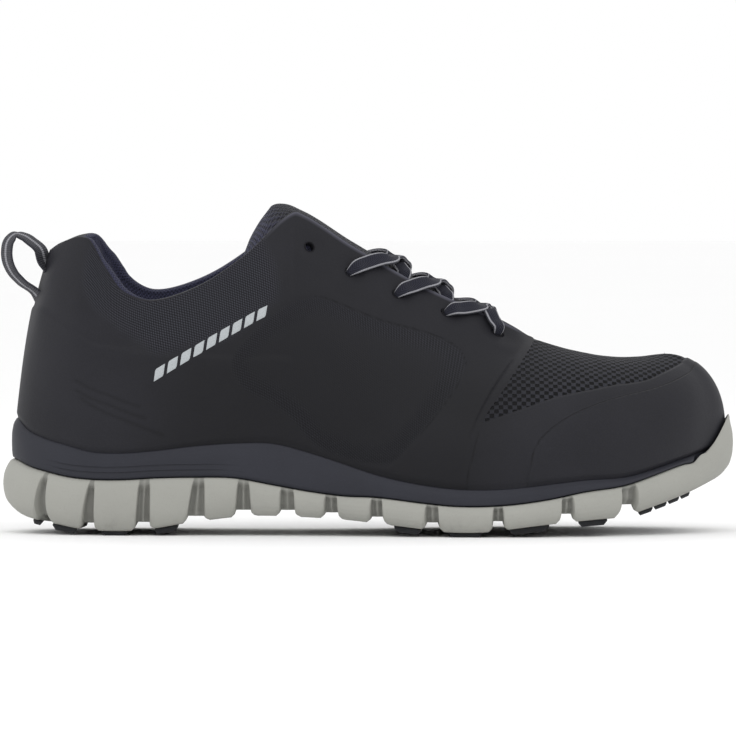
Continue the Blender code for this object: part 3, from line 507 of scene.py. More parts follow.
# Lines pressed into the heel counter
PRESSED_LINES = (((2.80, 0.345), (3.68, 0.345), (4.57, 0.291)),
                 ((2.84, 0.299), (3.82, 0.285), (4.73, 0.210)),
                 ((2.97, 0.269), (4.11, 0.212), (5.15, 0.088)))
# Soft troughs of the worn-in wall: two ends, depth and half width in millimetres
CREASES = (
    # start_section, start_share, end_section, end_share, depth, half_width
    (14.7, 0.93, 15.3, 0.60, 0.22, 3.4),
    (15.6, 0.93, 16.1, 0.68, 0.18, 3.2),
    (5.2, 0.62, 6.4, 0.30, 0.35, 5.0),
    (4.2, 0.70, 5.6, 0.86, 0.30, 3.5),
    (6.6, 0.86, 7.6, 0.66, 0.35, 4.0),
    (1.4, 0.60, 3.0, 0.72, 0.25, 5.0),
    (9.3, 0.40, 10.4, 0.18, 0.30, 7.0),
)
# The reflective tape: its two ends, and how many bars it is cut into
TAPE = ((4.95, 0.490), (7.56, 0.612))
TAPE_BARS = 9
BAR_LENGTH, BAR_SLANT = 0.80, 0.7

# Steps of the outer face in metres
VAMP_RAISED = 0.00030
SADDLE_RAISED = 0.00020
WINDOW_SUNK = 0.00055
LINE_SUNK = 0.00025
EYELET_SUNK, EYELET_RAISED = 0.00035, 0.00030

# Grids of the pieces: rows along the shoe, then points round or down
SHELL_GRID = (300, 104)
LINING_GRID = (240, 21, 60)
TONGUE_GRID = (140, 88)
STRIP_ROWS = 110
LOOP_ROWS = 120

# Where the tongue's round end starts, how many sections it takes, and where the tongue stops
TONGUE_FIRST, TONGUE_ROUND, TONGUE_LAST = 6.85, 0.35, 15.0
TONGUE_THICK, TONGUE_THIN = 0.0090, 0.0028

# Pitches of the patterns in millimetres, along and across
VAMP_PITCH = (3.7, 4.5)
LINING_PITCH = (1.5, 1.9)
TONGUE_PITCH = (2.2, 2.8)
BRAID_PITCH, CORD_PITCH, WEBBING_PITCH = 0.9, 0.7, 0.8
HOLE_BLACK = (0.0010, 0.0011, 0.0015)

# The camera: width of the photograph's frame at the shoe, and the point that it looks at
PHOTO_WIDTH = 0.3018
SENSOR_WIDTH = 36.0
CAMERA_TARGET = (-0.0003, 0.0, 0.0672)
WHITE = (1.0, 1.0, 1.0)
# Area lights: name, place, target, size and power
LIGHTS = (
    ("key", (-0.15, -0.9, 1.3), (0.0, 0.0, 0.05), (1.3, 1.0), 3.4),
    ("front", (1.1, -0.7, 0.7), (0.05, 0.0, 0.05), (0.8, 0.8), 1.0),
    ("heel", (-1.2, -0.5, 0.5), (-0.1, 0.0, 0.05), (0.6, 0.6), 1.4),
    ("back", (-0.3, 1.1, 0.9), (0.0, 0.0, 0.08), (1.2, 0.8), 1.0),
)


def shoe_shift():
    """Shift that puts the origin under the middle of the shoe's length and width."""
    turned = np.linspace(0, 1, 200)
    widest = [outline_flat(turned, side)[1] for side in SIDES]
    return np.array([-SOLE_LENGTH / 2, -(widest[0].min() + widest[1].max()) / 2, 0.0])


def chart():
    """Tables of a flat chart of the upper: each section's distance from the heel along the middle
    of the wall, and its length from the feather line to the top line, in millimetres."""
    u, v = np.meshgrid(np.linspace(0, LAST_SECTION, 900), np.linspace(0, 1, 80), indexing="ij")
    face = upper_point(u, v, LATERAL)
    across = np.linalg.norm(np.diff(face, axis=1), axis=-1).sum(axis=1)
    return u[:, 0], walk(face[:, 30]) / MM, across / MM


def flat(u, v):
    """Place on the chart of a section and a share: distance along, and share times length."""
    places, along, across = CHART
    beyond = np.maximum(np.asarray(u) - LAST_SECTION, 0) * 8
    return np.stack([np.interp(u, places, along) + beyond,
                     np.asarray(v) * np.interp(u, places, across)], axis=-1)


def from_chart(spot):
    """Section and share of a place on the chart."""
    places, along, across = CHART
    u = np.interp(spot[..., 0], along, places)
    return u, spot[..., 1] / np.interp(u, places, across)


def off_line(spot, start, end):
    """Distance of chart places from a straight line between two ends."""
    run = end - start
    share = np.clip(((spot - start) @ run) / (run @ run), 0, 1)
    return np.linalg.norm(spot - start - share[..., None] * run, axis=-1)


def rounded(border, times=3):
    """Closed line with its corners cut: each edge keeps the points at a quarter and at three
    quarters of it, a few times over."""
    corners = np.array(border, dtype=float)
    for _ in range(times):
        ahead = np.roll(corners, -1, axis=0)
        corners = np.stack([0.75 * corners + 0.25 * ahead, 0.25 * corners + 0.75 * ahead],
                           axis=1).reshape(-1, 2)
    return corners


def inside(spot, border):
    """Distance of chart places from a closed line, above zero inside it. A place is inside where
    a ray from it crosses the line an odd number of times."""
    corners = flat(*np.asarray(border, dtype=float).T)
    far = np.full(spot.shape[:-1], np.inf)
    odd = np.zeros(spot.shape[:-1], dtype=bool)
    for start, end in zip(corners, np.roll(corners, -1, axis=0)):
        far = np.minimum(far, off_line(spot, start, end))
        if start[1] != end[1]:
            crosses = (start[1] > spot[..., 1]) != (end[1] > spot[..., 1])
            at = start[0] + (spot[..., 1] - start[1]) * (end[0] - start[0]) / (end[1] - start[1])
            odd ^= crosses & (spot[..., 0] < at)
    return np.where(odd, far, -far)


def ramp(value, low, high):
    """Smooth step from 0 at low to 1 at high."""
    share = np.clip((value - low) / (high - low), 0, 1)
    return share * share * (3 - 2 * share)


def edge_share(u):
    """Share of the wall where its film ends: a little below the top line along the throat and at
    the crest of the collar."""
    low = (2.7 * ramp(u, 8.0, 9.3) * ramp(-u, -12.6, -11.0)
           + 1.1 * ramp(u, 0.9, 2.0) * ramp(-u, -3.4, -2.2))
    return 1 - low / np.interp(u, CHART[0], CHART[2])


def even_sections(count, share=0.45):
    """Sections at even distances along one share of the wall."""
    u = np.linspace(0, LAST_SECTION, 1200)
    far = walk(upper_point(u, share, LATERAL))
    return np.interp(np.linspace(0, far[-1], count), far, u)


def quads(rows, columns, closed=False):
    """Corner numbers of a grid's faces, row by row. In a closed grid each row is a ring."""
    i, j = np.meshgrid(np.arange(rows - 1), np.arange(columns if closed else columns - 1),
                       indexing="ij")
    below, right = i + 1, (j + 1) % columns
    return np.stack([i * columns + j, below * columns + j, below * columns + right,
                     i * columns + right], axis=-1).reshape(-1, 4)


def add_object(name, data):
    made = bpy.data.objects.new(name, data)
    bpy.context.scene.collection.objects.link(made)
    return made


def edit_mesh(mesh, change):
    """Runs a change on the editable form of a mesh."""
    work = bmesh.new()
    work.from_mesh(mesh)
    change(work)
    work.to_mesh(mesh)
    work.free()


def mend_normals(piece):
    """Points the faces of a closed piece outwards."""
    edit_mesh(piece.data, lambda work: bmesh.ops.recalc_face_normals(work, faces=work.faces))


def make_piece(name, points, faces, material, layers=None, merge=1e-6):
    """Mesh object from an array of points in the shoe's own lengths. Each layer is one number or
    vector per point, which the material reads. Points closer than merge become one."""
    mesh = bpy.data.meshes.new(name)
    mesh.from_pydata((np.asarray(points).reshape(-1, 3) + SHIFT).tolist(), [], faces.tolist())
    for label, numbers in (layers or {}).items():
        kind, field = ("FLOAT_VECTOR", "vector") if numbers.ndim > 1 else ("FLOAT", "value")
        layer = mesh.attributes.new(label, kind, "POINT")
        layer.data.foreach_set(field, numbers.astype(np.float32).ravel())

    def join(work):
        bmesh.ops.remove_doubles(work, verts=work.verts, dist=merge)
        bmesh.ops.dissolve_degenerate(work, edges=work.edges, dist=1e-7)

    if merge:
        edit_mesh(mesh, join)
    mesh.materials.append(material)
    mesh.shade_smooth()
    piece = add_object(name, mesh)
    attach(piece, "root")
    return piece


class Parts:
    """Points, faces and layers of a piece that is made part by part, such as side by side."""

    def __init__(self):
        self.points, self.faces, self.layers, self.count = [], [], {}, 0

    def add(self, points, faces, turned=False, **layers):
        """Adds a part. turned swaps the side that its faces look to."""
        self.faces.append((faces[:, ::-1] if turned else faces) + self.count)
        self.points.append(points.reshape(-1, 3))
        count = len(self.points[-1])
        self.count += count
        for name, numbers in layers.items():
            shape = (count, 3) if numbers.size > count else count
            self.layers.setdefault(name, []).append(numbers.reshape(shape))

    def piece(self, name, material, merge=3e-6):
        layers = {key: np.concatenate(parts) for key, parts in self.layers.items()}
        return make_piece(name, np.concatenate(self.points), np.concatenate(self.faces), material,
                          layers, merge)


CHART = chart()
SHIFT = shoe_shift()


class Number:
    """A number that a node socket carries. Arithmetic on it adds Math nodes."""

    def __init__(self, finish, socket):
        self.finish, self.socket = finish, socket

    def math(self, operation, *others, **settings):
        return self.finish.math(operation, self, *others, **settings)

    def __add__(self, other):
        return self.math("ADD", other)

    def __radd__(self, other):
        return self.finish.math("ADD", other, self)

    def __sub__(self, other):
        return self.math("SUBTRACT", other)

    def __rsub__(self, other):
        return self.finish.math("SUBTRACT", other, self)

    def __mul__(self, other):
        return self.math("MULTIPLY", other)

    def __rmul__(self, other):
        return self.finish.math("MULTIPLY", other, self)

    def __truediv__(self, other):
        return self.math("DIVIDE", other)

    def wave(self, pitch):
        """Cosine of the value with that pitch, from -1 to 1."""
        return (self * (2 * math.pi / pitch)).math("COSINE")

    def step(self, low, high):
        """Smooth step from 0 at low to 1 at high."""
        node = self.finish.node("ShaderNodeMapRange", {"interpolation_type": "SMOOTHSTEP"},
                                {"Value": self, "From Min": low, "From Max": high})
        return Number(self.finish, node.outputs["Result"])


class Finish:
    """A material and the nodes that paint it."""

    def __init__(self, name, roughness, sheen=0.0, coat=0.0, specular=0.5):
        self.material = bpy.data.materials.new(name)
        self.material.use_nodes = True
        self.tree = self.material.node_tree
        self.shader = self.tree.nodes["Principled BSDF"]
        self.fill(self.shader, {"Roughness": roughness, "Sheen Weight": sheen,
                                "Coat Weight": coat, "Specular IOR Level": specular})

    def fill(self, node, inputs):
        """Links sockets of a node to numbers and sockets, or gives them values and colours."""
        for name, value in inputs.items():
            socket = node.inputs[name]
            if isinstance(value, Number):
                value = value.socket
            if isinstance(value, bpy.types.NodeSocket):
                self.tree.links.new(value, socket)
            else:
                socket.default_value = (*value, 1.0) if isinstance(value, tuple) else value

    def node(self, kind, settings=None, inputs=None):
        """Node of a kind, with its settings made first, then its sockets."""
        made = self.tree.nodes.new(kind)
        for name, value in (settings or {}).items():
            setattr(made, name, value)
        self.fill(made, inputs or {})
        return made

    def math(self, operation, *values):
        made = self.node("ShaderNodeMath", {"operation": operation}, dict(enumerate(values)))
        return Number(self, made.outputs[0])

    def layer(self, name):
        made = self.node("ShaderNodeAttribute", {"attribute_name": name})
        return Number(self, made.outputs["Fac"])

    def axes(self, vector):
        split = self.node("ShaderNodeSeparateXYZ", None, {"Vector": vector})
        return [Number(self, socket) for socket in split.outputs]

    def weave(self):
        """The weave layer, and its numbers along and across the cloth."""
        made = self.node("ShaderNodeAttribute", {"attribute_name": "weave"})
        along, across, _ = self.axes(made.outputs["Vector"])
        return made.outputs["Vector"], along, across

    def place(self):
        """Object coordinates, and the same as three numbers."""
        made = self.node("ShaderNodeTexCoord")
        return made.outputs["Object"], self.axes(made.outputs["Object"])

    def noise(self, vector, scale, detail=2.0, rough=0.5):
        made = self.node("ShaderNodeTexNoise", None,
                         {"Vector": vector, "Scale": scale, "Detail": detail, "Roughness": rough})
        return Number(self, made.outputs["Fac"])

    def cells(self, vector, scale):
        """Distance from the middles of random cells."""
        made = self.node("ShaderNodeTexVoronoi", None, {"Vector": vector, "Scale": scale})
        return Number(self, made.outputs["Distance"])

    def mix(self, factor, low, high):
        """Colour between two colours."""
        low_socket, high_socket, mixed = 6, 7, 2
        made = self.node("ShaderNodeMix", {"data_type": "RGBA"},
                         {"Factor": factor, low_socket: low, high_socket: high})
        return made.outputs[mixed]

    def done(self, colour, height=None, depth=0.001, strength=1.0, roughness=None):
        """Links the colour, the relief with its depth in metres, and the roughness."""
        self.fill(self.shader, {"Base Color": colour})
        if height is not None:
            bump = self.node("ShaderNodeBump", None,
                             {"Height": height, "Distance": depth, "Strength": strength})
            self.fill(self.shader, {"Normal": bump.outputs["Normal"]})
        if roughness is not None:
            self.fill(self.shader, {"Roughness": roughness})
        return self.material


def tone(red, green, blue):
    """Linear colour from screen values of 0 to 255."""
    return tuple((value / 255 / 12.92) if value < 10.3 else ((value / 255 + 0.055) / 1.055) ** 2.4
                 for value in (red, green, blue))


def shade(colour, factor):
    return tuple(min(1.0, value * factor) for value in colour)


def own_colour(name):
    """A colour of the panel."""
    return tuple(getattr(bpy.context.scene.sneaker_colours, name))


def sizes():
    """The sizes of the panel."""
    return bpy.context.scene.sneaker_sizes


def cells(along, across, pitch):
    """Rows of round cells, each row half a cell on: the product of two cosines."""
    return along.wave(pitch[0]) * across.wave(pitch[1])


def upper_finish():
    """Charcoal film and knit. The film has a fine grain. The vamp mesh has dark holes in offset
    rows, from the product of two cosines. The knit at the collar and side has slanted ribs. Film
    edges, the toe cap's edge and the side window's edge are thin dark lines with a small step."""
    finish = Finish("upper film and knit", 0.62, specular=0.2)
    film, thread = own_colour("film"), own_colour("thread")
    place, _ = finish.place()
    weave, along, across = finish.weave()
    vamp = finish.layer("vamp").step(-0.25, 0.25)
    hole = cells(along, across, VAMP_PITCH).step(-0.10, 0.34) * vamp
    strand = finish.noise(weave, 1.6, 3.0)
    knit = finish.layer("knit")
    rib = (along * 0.8 + across * 0.6).wave(1.15) * (across * 0.8 - along * 0.6).wave(1.9)
    rib = rib.step(-0.5, 0.6)
    grain = finish.noise(place, 2200.0, 3.0, 0.6)
    cloud = finish.noise(place, 24.0, 4.0)
    line = finish.layer("seam").math("ABSOLUTE").step(0.75, 0.1)
    shine, dark = finish.layer("shine"), finish.layer("dark")
    grey = finish.mix(cloud.step(0.25, 0.8), shade(film, 0.84), shade(film, 1.18))
    grey = finish.mix(grain.step(0.35, 0.75) * 0.4, grey, shade(film, 1.7))
    grey = finish.mix(knit * rib * 0.85, grey, shade(thread, 1.3))
    grey = finish.mix(knit * (1 - rib) * 0.65, grey, shade(film, 0.42))
    grey = finish.mix(vamp * (1 - hole) * strand.step(0.15, 0.7), grey, shade(thread, 0.85))
    grey = finish.mix(hole * 0.95, grey, HOLE_BLACK)
    # Painted shade at the pressed lines and down the lower side, and the side window's darker tone
    grey = finish.mix(dark, grey, shade(film, 0.30))
    grey = finish.mix(line * 0.62, grey, shade(film, 0.28))
    # Painted highlight: a light line along the film's cut edge at the eyestay
    grey = finish.mix(shine * 0.8, grey, shade(film, 8.0))
    height = (grain * 0.06 + knit * rib * 0.26 - hole * 1.3 - line * 0.28
              + vamp * strand * 0.12 + finish.noise(place, 420.0, 2.0) * 0.07)
    rough = 0.58 + vamp * 0.18 + knit * 0.14 + hole * 0.05
    return finish.done(grey, height, 0.0009, 0.9, rough)


def lining_finish():
    """Navy spacer mesh: small round cells with light threads between them; the eyestay's edge
    is film."""
    finish = Finish("navy lining mesh", 0.85, sheen=0.08, specular=0.2)
    navy, film = own_colour("navy"), own_colour("film")
    weave, along, across = finish.weave()
    cell = cells(along, across, LINING_PITCH).step(-0.25, 0.55)
    fleck = finish.noise(weave, 1.9, 3.0, 0.7).step(0.42, 0.72)
    rim = finish.layer("rim")
    grey = finish.mix(cell * 0.7, shade(navy, 1.5), shade(navy, 0.35))
    grey = finish.mix(fleck * 0.45, grey, shade(navy, 2.6))
    grey = finish.mix(rim, grey, shade(film, 1.05))
    height = (1 - rim) * (0.6 - cell * 0.8 + fleck * 0.5)
    return finish.done(grey, height, 0.0006, 0.8, 0.86 - rim * 0.24)


def tongue_finish():
    """Navy padded mesh at the free end, and charcoal mesh from the top eyelets down."""
    finish = Finish("tongue mesh", 0.85, sheen=0.08, specular=0.2)
    navy, film = own_colour("navy"), own_colour("film")
    weave, along, across = finish.weave()
    low = along.step(17.0, 27.0)
    cell = cells(along, across, TONGUE_PITCH).step(-0.3, 0.6)
    fleck = finish.noise(weave, 1.7, 3.0, 0.7).step(0.40, 0.72)
    grey = finish.mix(low, shade(navy, 1.35), shade(film, 1.25))
    grey = finish.mix(fleck * 0.45, grey, shade(navy, 2.4))
    grey = finish.mix(cell * 0.75, grey, shade(film, 0.30))
    return finish.done(grey, 0.8 - cell + fleck * 0.4, 0.0008, 0.9)


def lace_finish():
    """Dark navy flat braid, a herringbone of short slanted strands, with a light cord along each
    edge."""
    finish = Finish("lace braid", 0.8, sheen=0.05, specular=0.25)
    cloth, cord = own_colour("lace"), own_colour("cord")
    _, along, across = finish.weave()
    edge = across.math("ABSOLUTE").step(0.74, 0.79) * (1 - across.math("ABSOLUTE").step(0.95, 1.0))
    slant = (along + across.math("ABSOLUTE") * 2.2).wave(BRAID_PITCH)
    rope = (along + across * 1.4).wave(CORD_PITCH)
    grey = finish.mix(slant.step(-0.8, 0.9), shade(cloth, 0.6), shade(cloth, 1.6))
    grey = finish.mix(edge, grey, cord)
    grey = finish.mix(edge * rope.step(0.2, 0.9) * 0.4, grey, shade(cord, 0.5))
    height = slant * 0.25 * (1 - edge) + edge * (0.8 + rope * 0.2)
    return finish.done(grey, height, 0.0005, 0.8)


def webbing_finish():
    """Ribbed webbing with a light stripe down its middle."""
    finish = Finish("loop webbing", 0.75, sheen=0.05, specular=0.25)
    cloth, cord = own_colour("webbing"), own_colour("cord")
    _, along, across = finish.weave()
    middle = 1 - across.math("ABSOLUTE").step(0.15, 0.21)
    rib = along.wave(WEBBING_PITCH)
    grey = finish.mix(rib.step(-0.8, 0.8), shade(cloth, 0.65), shade(cloth, 1.35))
    grey = finish.mix(middle * (rib * 0.15 + 0.8), grey, cord)
    return finish.done(grey, rib * 0.3 + across.wave(0.14) * 0.12, 0.0004, 0.8)


def slate_finish():
    """Slate foam: a soft even skin with fine pores and faint mottling, and two fine ribs pressed
    round the heel just above the grey foam, painted darker as shade in their grooves. A line of
    painted shade runs along the foot of the band, where it meets the grey foam."""
    finish = Finish("slate foam skin", 0.55, specular=0.2)
    slate = own_colour("slate")
    place, axes = finish.place()
    pores = finish.noise(place, 1500.0, 2.0, 0.6)
    cloud = finish.noise(place, 30.0, 3.0)
    rise = finish.layer("rise")
    heel = (1 - axes[0].step(-0.075, -0.045)) * axes[0].step(-0.134, -0.122)
    rib = ((1 - (rise - 5.2).math("ABSOLUTE").step(0.1, 0.45))
           + (1 - (rise - 3.0).math("ABSOLUTE").step(0.1, 0.45))) * heel
    low = 1 - (rise - 0.2).math("ABSOLUTE").step(0.1, 0.6)
    grey = finish.mix(cloud.step(0.2, 0.8), shade(slate, 0.88), shade(slate, 1.14))
    grey = finish.mix(pores.step(0.55, 0.8) * 0.3, grey, shade(slate, 1.6))
    # Painted shade in the two pressed ribs at the heel
    grey = finish.mix(rib * 0.45, grey, shade(slate, 0.5))
    # Painted shade along the band's foot where it meets the grey foam
    grey = finish.mix(low * 0.15, grey, shade(slate, 0.5))
    rough = 0.52 + cloud * 0.12
    return finish.done(grey, pores * 0.10 + cloud * 0.05 - rib * 0.5, 0.0006, 0.8, rough)


def grey_finish():
    """Light grey foam: fine pores, faint warm and cool mottling, painted shade in the grooves and
    small scuffs near the floor."""
    finish = Finish("grey foam skin", 0.68, specular=0.3)
    grey = own_colour("grey")
    place, axes = finish.place()
    pores = finish.noise(place, 1300.0, 2.0, 0.6)
    cloud = finish.noise(place, 26.0, 4.0)
    scuff = finish.noise(place, 160.0, 5.0, 0.7)
    deep = finish.layer("deep")
    low = 1 - axes[2].step(0.001, 0.012)
    paint = finish.mix(cloud.step(0.2, 0.8), shade(grey, 0.93), shade(grey, 1.05))
    paint = finish.mix(pores.step(0.5, 0.85) * 0.25, paint, shade(grey, 0.75))
    # Painted shade inside the grooves
    paint = finish.mix(deep * 0.62, paint, shade(grey, 0.36))
    paint = finish.mix(low * scuff.step(0.50, 0.72) * 0.30, paint, shade(grey, 0.5))
    rough = 0.64 + cloud * 0.12
    return finish.done(paint, pores * 0.12 + cloud * 0.05 + scuff * 0.05, 0.0006, 0.7, rough)


def rubber_finish():
    """Black rubber with a pebbled face and grey wear on what touches the floor."""
    finish = Finish("black rubber", 0.6, specular=0.3)
    rubber = own_colour("rubber")
    place, axes = finish.place()
    pebble = finish.cells(place, 1400.0)
    dust = finish.noise(place, 120.0, 4.0, 0.65)
    worn = (1 - axes[2].step(0.0002, 0.0012)) * dust.step(0.45, 0.7)
    grey = finish.mix(dust.step(0.3, 0.8), shade(rubber, 0.75), shade(rubber, 1.4))
    grey = finish.mix(worn * 0.5, grey, shade(rubber, 3.0))
    return finish.done(grey, pebble * 0.5 + dust * 0.1, 0.0003, 0.6, 0.55 + dust * 0.25)


def insole_finish():
    """Dark knit cloth over foam: crossed fine ribs."""
    finish = Finish("insole cloth", 0.9, sheen=0.05, specular=0.2)
    cloth = own_colour("insole")
    place, axes = finish.place()
    knit = axes[0].wave(0.0011) * axes[1].wave(0.0014)
    cloud = finish.noise(place, 40.0, 3.0)
    grey = finish.mix(knit.step(-0.5, 0.8), shade(cloth, 0.6), shade(cloth, 1.5))
    grey = finish.mix(cloud.step(0.4, 0.8) * 0.4, grey, shade(cloth, 2.0))
    return finish.done(grey, knit * 0.3 + cloud * 0.2, 0.0004, 0.7)


def tape_finish():
    """Light grey reflective film with a fine bead grain."""
    finish = Finish("reflective tape", 0.42, coat=0.1)
    tape = own_colour("tape")
    place, _ = finish.place()
    bead = finish.cells(place, 3800.0)
    cloud = finish.noise(place, 90.0, 3.0)
    grey = finish.mix(bead.step(0.1, 0.7), shade(tape, 1.08), shade(tape, 0.82))
    grey = finish.mix(cloud.step(0.5, 0.8) * 0.25, grey, shade(tape, 0.75))
    return finish.done(grey, 1 - bead, 0.00012, 0.5)


def weave_places(u, v, points):
    """Chart places for patterns: along and across the wall in millimetres. Ahead of the throat
    they are the length of the shoe and the distance from the ridge, so that both sides join."""
    spot = flat(u, v)
    ridge = flat(u, 1.0)[..., 1] - spot[..., 1]
    front = (u > 13.0)[..., None]
    ahead = np.stack([points[..., 0] / MM, ridge, 0 * ridge], axis=-1)
    behind = np.concatenate([spot, 0 * spot[..., :1]], axis=-1)
    return np.where(front, ahead, behind)


def upper_relief(u, v):
    """Height of the outer face above the bare wall in metres, and the layers that its material
    reads: distances inside the vamp mesh and from the seams in millimetres, the strength of the
    knit, how dark a place is (painted shade at the pressed lines and down the lower side, and the
    side window's own darker tone), and a painted highlight along the film's cut edge. Near the
    ridge of the toe the films run into one level."""
    spot = flat(u, v)
    vamp, cap = inside(spot, MESH_VAMP), inside(spot, rounded(TOE_CAP))
    saddle, window = inside(spot, SADDLE_FRONT), inside(spot, rounded(WINDOW))
    length = flat(u, 1.0)[..., 1]
    film_edge = np.maximum((section_value(u, 10) - v) * length, (u - FILM_REAR) * 13.0)
    film = np.where(u > 11, 1 - ramp(vamp, -1.6, 0.4), ramp(film_edge, -1.2, 1.2))
    layers = film + ramp(cap, -0.5, 0.5) * (1 - 0.7 * ramp(u, 16.5, 20.0))
    level_toe = ramp(v, 0.78, 0.95) * ramp(u, 18.3, 19.6)
    height = OVERLAY * (layers * (1 - level_toe) + 0.6 * level_toe)
    height += VAMP_RAISED * ramp(vamp, -0.5, 1.5) * (1 - level_toe)
    height += SADDLE_RAISED * ramp(saddle, -0.5, 0.5) * (u > 11) * (1 - ramp(v, 0.22, 0.38))
    height -= WINDOW_SUNK * ramp(window, -1.0, 1.2) * ramp(u, 7.0, 9.0)
    pressed = np.zeros_like(height)
    for line in PRESSED_LINES:
        for start, end in zip(line, line[1:]):
            far = off_line(spot, flat(*start), flat(*end))
            pressed = np.maximum(pressed, np.exp(-(far / 0.55) ** 2))
    height -= LINE_SUNK * pressed
    for u_a, v_a, u_b, v_b, depth, width in CREASES:
        far = off_line(spot, flat(u_a, v_a), flat(u_b, v_b))
        height += depth * MM * (0.45 * np.exp(-((far - 1.9 * width) / width) ** 2)
                                - np.exp(-(far / width) ** 2))
    for place in EYELET_PLACES:
        far = np.linalg.norm(spot - flat(*place), axis=-1)
        height -= EYELET_SUNK * np.exp(-(far / 3.4) ** 2)
        height += EYELET_RAISED * np.exp(-((far - 7.5) / 3.0) ** 2)
    collar = ramp(inside(spot, rounded(COLLAR_KNIT, 2)), -1.0, 6.0)
    rim = 1 - ramp(np.abs(window - 3.5), 1.5, 7.0)
    side = ramp(window, -0.5, 1.5) * (0.14 + 0.60 * rim)
    knit = np.clip(np.maximum(collar, side), 0, 1)
    seam = np.minimum(np.abs(cap), np.abs(saddle) + 3 * (u < 11) + 3 * ramp(vamp, -5.0, -1.5))
    seam = np.minimum(seam, np.abs(window) + 0.15 + 2.2 * ramp(9.6 - u, 0.0, 1.5)
                      + 1.6 * ramp(0.25 - v, 0.0, 0.2))
    seam = np.where(vamp > 0.6, 3.0, seam + level_toe)
    # Painted shade down the lower middle of the side, kept off the collar's knit
    painted_low_shade = (ramp(u, 3.6, 6.2) * (1 - ramp(u, 13.4, 16.0)) * (1 - 0.65 * ramp(v, 0.35, 0.85))
                * (1 - 0.8 * collar))
    # The dark layer: painted shade in the pressed lines and down the lower side, plus the side
    # window's own darker tone
    dark = np.maximum(0.40 * pressed, 0.06 * ramp(window, -0.5, 2.0)) + 0.64 * painted_low_shade
    edge = (edge_share(u) - v) * length
    # Painted highlight along the film's cut edge at the eyestay
    shine = (1 - ramp(edge, 0.5, 1.3)) * ramp(u, 7.2, 8.4) * ramp(-u, -13.6, -12.6)
    layers = {"vamp": vamp, "knit": knit, "seam": seam, "dark": dark, "shine": shine}
    return height * ramp(v, 0.0, 0.03), layers


def make_upper():
    """Outer face on a grid of sections and shares, one half for each side, joined at the heel, the
    ridge and the toe. Faces inside an eyelet are left out, and the corners next to them are
    moved onto its circle."""
    columns, rows = SHELL_GRID
    gap, border_gap, reach, squeeze, still = 0.35, 0.12, 4.0, 0.72, 1e-3
    u0, v0 = np.meshgrid(even_sections(columns), np.linspace(0, 1, rows), indexing="ij")
    v0 = v0 * edge_share(u0)
    holes = np.zeros(u0.shape, dtype=bool)
    spot = flat(u0, v0)
    moved = spot.copy()
    grid = quads(columns, rows)
    for place in EYELET_PLACES:
        centre = flat(*place)
        away = spot - centre
        far = np.linalg.norm(away, axis=-1)
        inner = far < EYELET_RADIUS / MM + gap
        holes |= inner
        border = np.zeros(u0.size, dtype=bool)
        border[grid[inner.ravel()[grid].any(axis=1)]] = True
        border = border.reshape(u0.shape) & ~inner
        ring = EYELET_RADIUS / MM + border_gap
        beyond = (far < ring + reach) & ~inner & ~border
        eased = squeeze + (1 - squeeze) * ramp(far, ring, ring + reach)
        pulled = np.where(border, ring, ring + (far - ring) * eased)
        shifted = centre + away / np.maximum(far, 1e-9)[..., None] * pulled[..., None]
        moved = np.where((border | beyond)[..., None], shifted, moved)
    u, v = from_chart(moved)
    u[0], u[-1] = 0.0, LAST_SECTION
    u = np.where(np.abs(u - u0) < still, u0, u)
    v = np.clip(np.where(np.abs(v - v0) < still, v0, v), 0, 1)
    height, layers = upper_relief(u, v)
    halves = [lifted(u, v, side, height) for side in SIDES]
    halves[0][-1] = halves[1][-1] = (halves[0][-1] + halves[1][-1]) / 2
    shell = Parts()
    for side, face in zip(SIDES, halves):
        shell.add(face, grid[~holes.ravel()[grid].any(axis=1)], side == MEDIAL,
                  weave=weave_places(u, v, face), **layers)
    piece = shell.piece("upper_shell", upper_finish(), 2e-6)
    return piece


def make_eyelets():
    """Punched walls of the eyelets: a short tube square to the face from just above it to inside
    the lining, a circle carried along the face's normal."""
    angle = np.linspace(0, 2 * math.pi, 28, endpoint=False)
    walls = Parts()
    widths_and_lifts = ((0.45, 0.05), (0.12, 0.16), (0.0, 0.02), (0.0, -1.6), (0.0, -3.4))
    rings, clear = np.array(widths_and_lifts) * MM, 0.00025
    for side in SIDES:
        for u, v in EYELET_PLACES:
            height, _ = upper_relief(np.array([u]), np.array([v]))
            centre = upper_point(u, v, side)
            normal = upper_normal(u, v, side)
            ahead = unit(upper_point(u + 0.01, v, side) - centre)
            across = np.cross(normal, ahead)
            around = np.cos(angle)[:, None] * ahead + np.sin(angle)[:, None] * across
            tube = [centre + normal * (height[0] + clear + lift) + around * (EYELET_RADIUS + wide)
                    for wide, lift in rings]
            walls.add(np.concatenate(tube), quads(len(rings), len(angle), True))
    piece = walls.piece("eyelet_walls", eyelet_finish(), 1e-6)
    return piece


def eyelet_finish():
    """Cut edge of the film and foam: near black with a fine grain."""
    finish = Finish("punched edge", 0.8, specular=0.2)
    film = own_colour("film")
    place, _ = finish.place()
    grain = finish.noise(place, 1800.0, 2.0)
    grey = finish.mix(grain, shade(film, 0.35), shade(film, 0.8))
    return finish.done(grey, grain, 0.0002, 0.5)


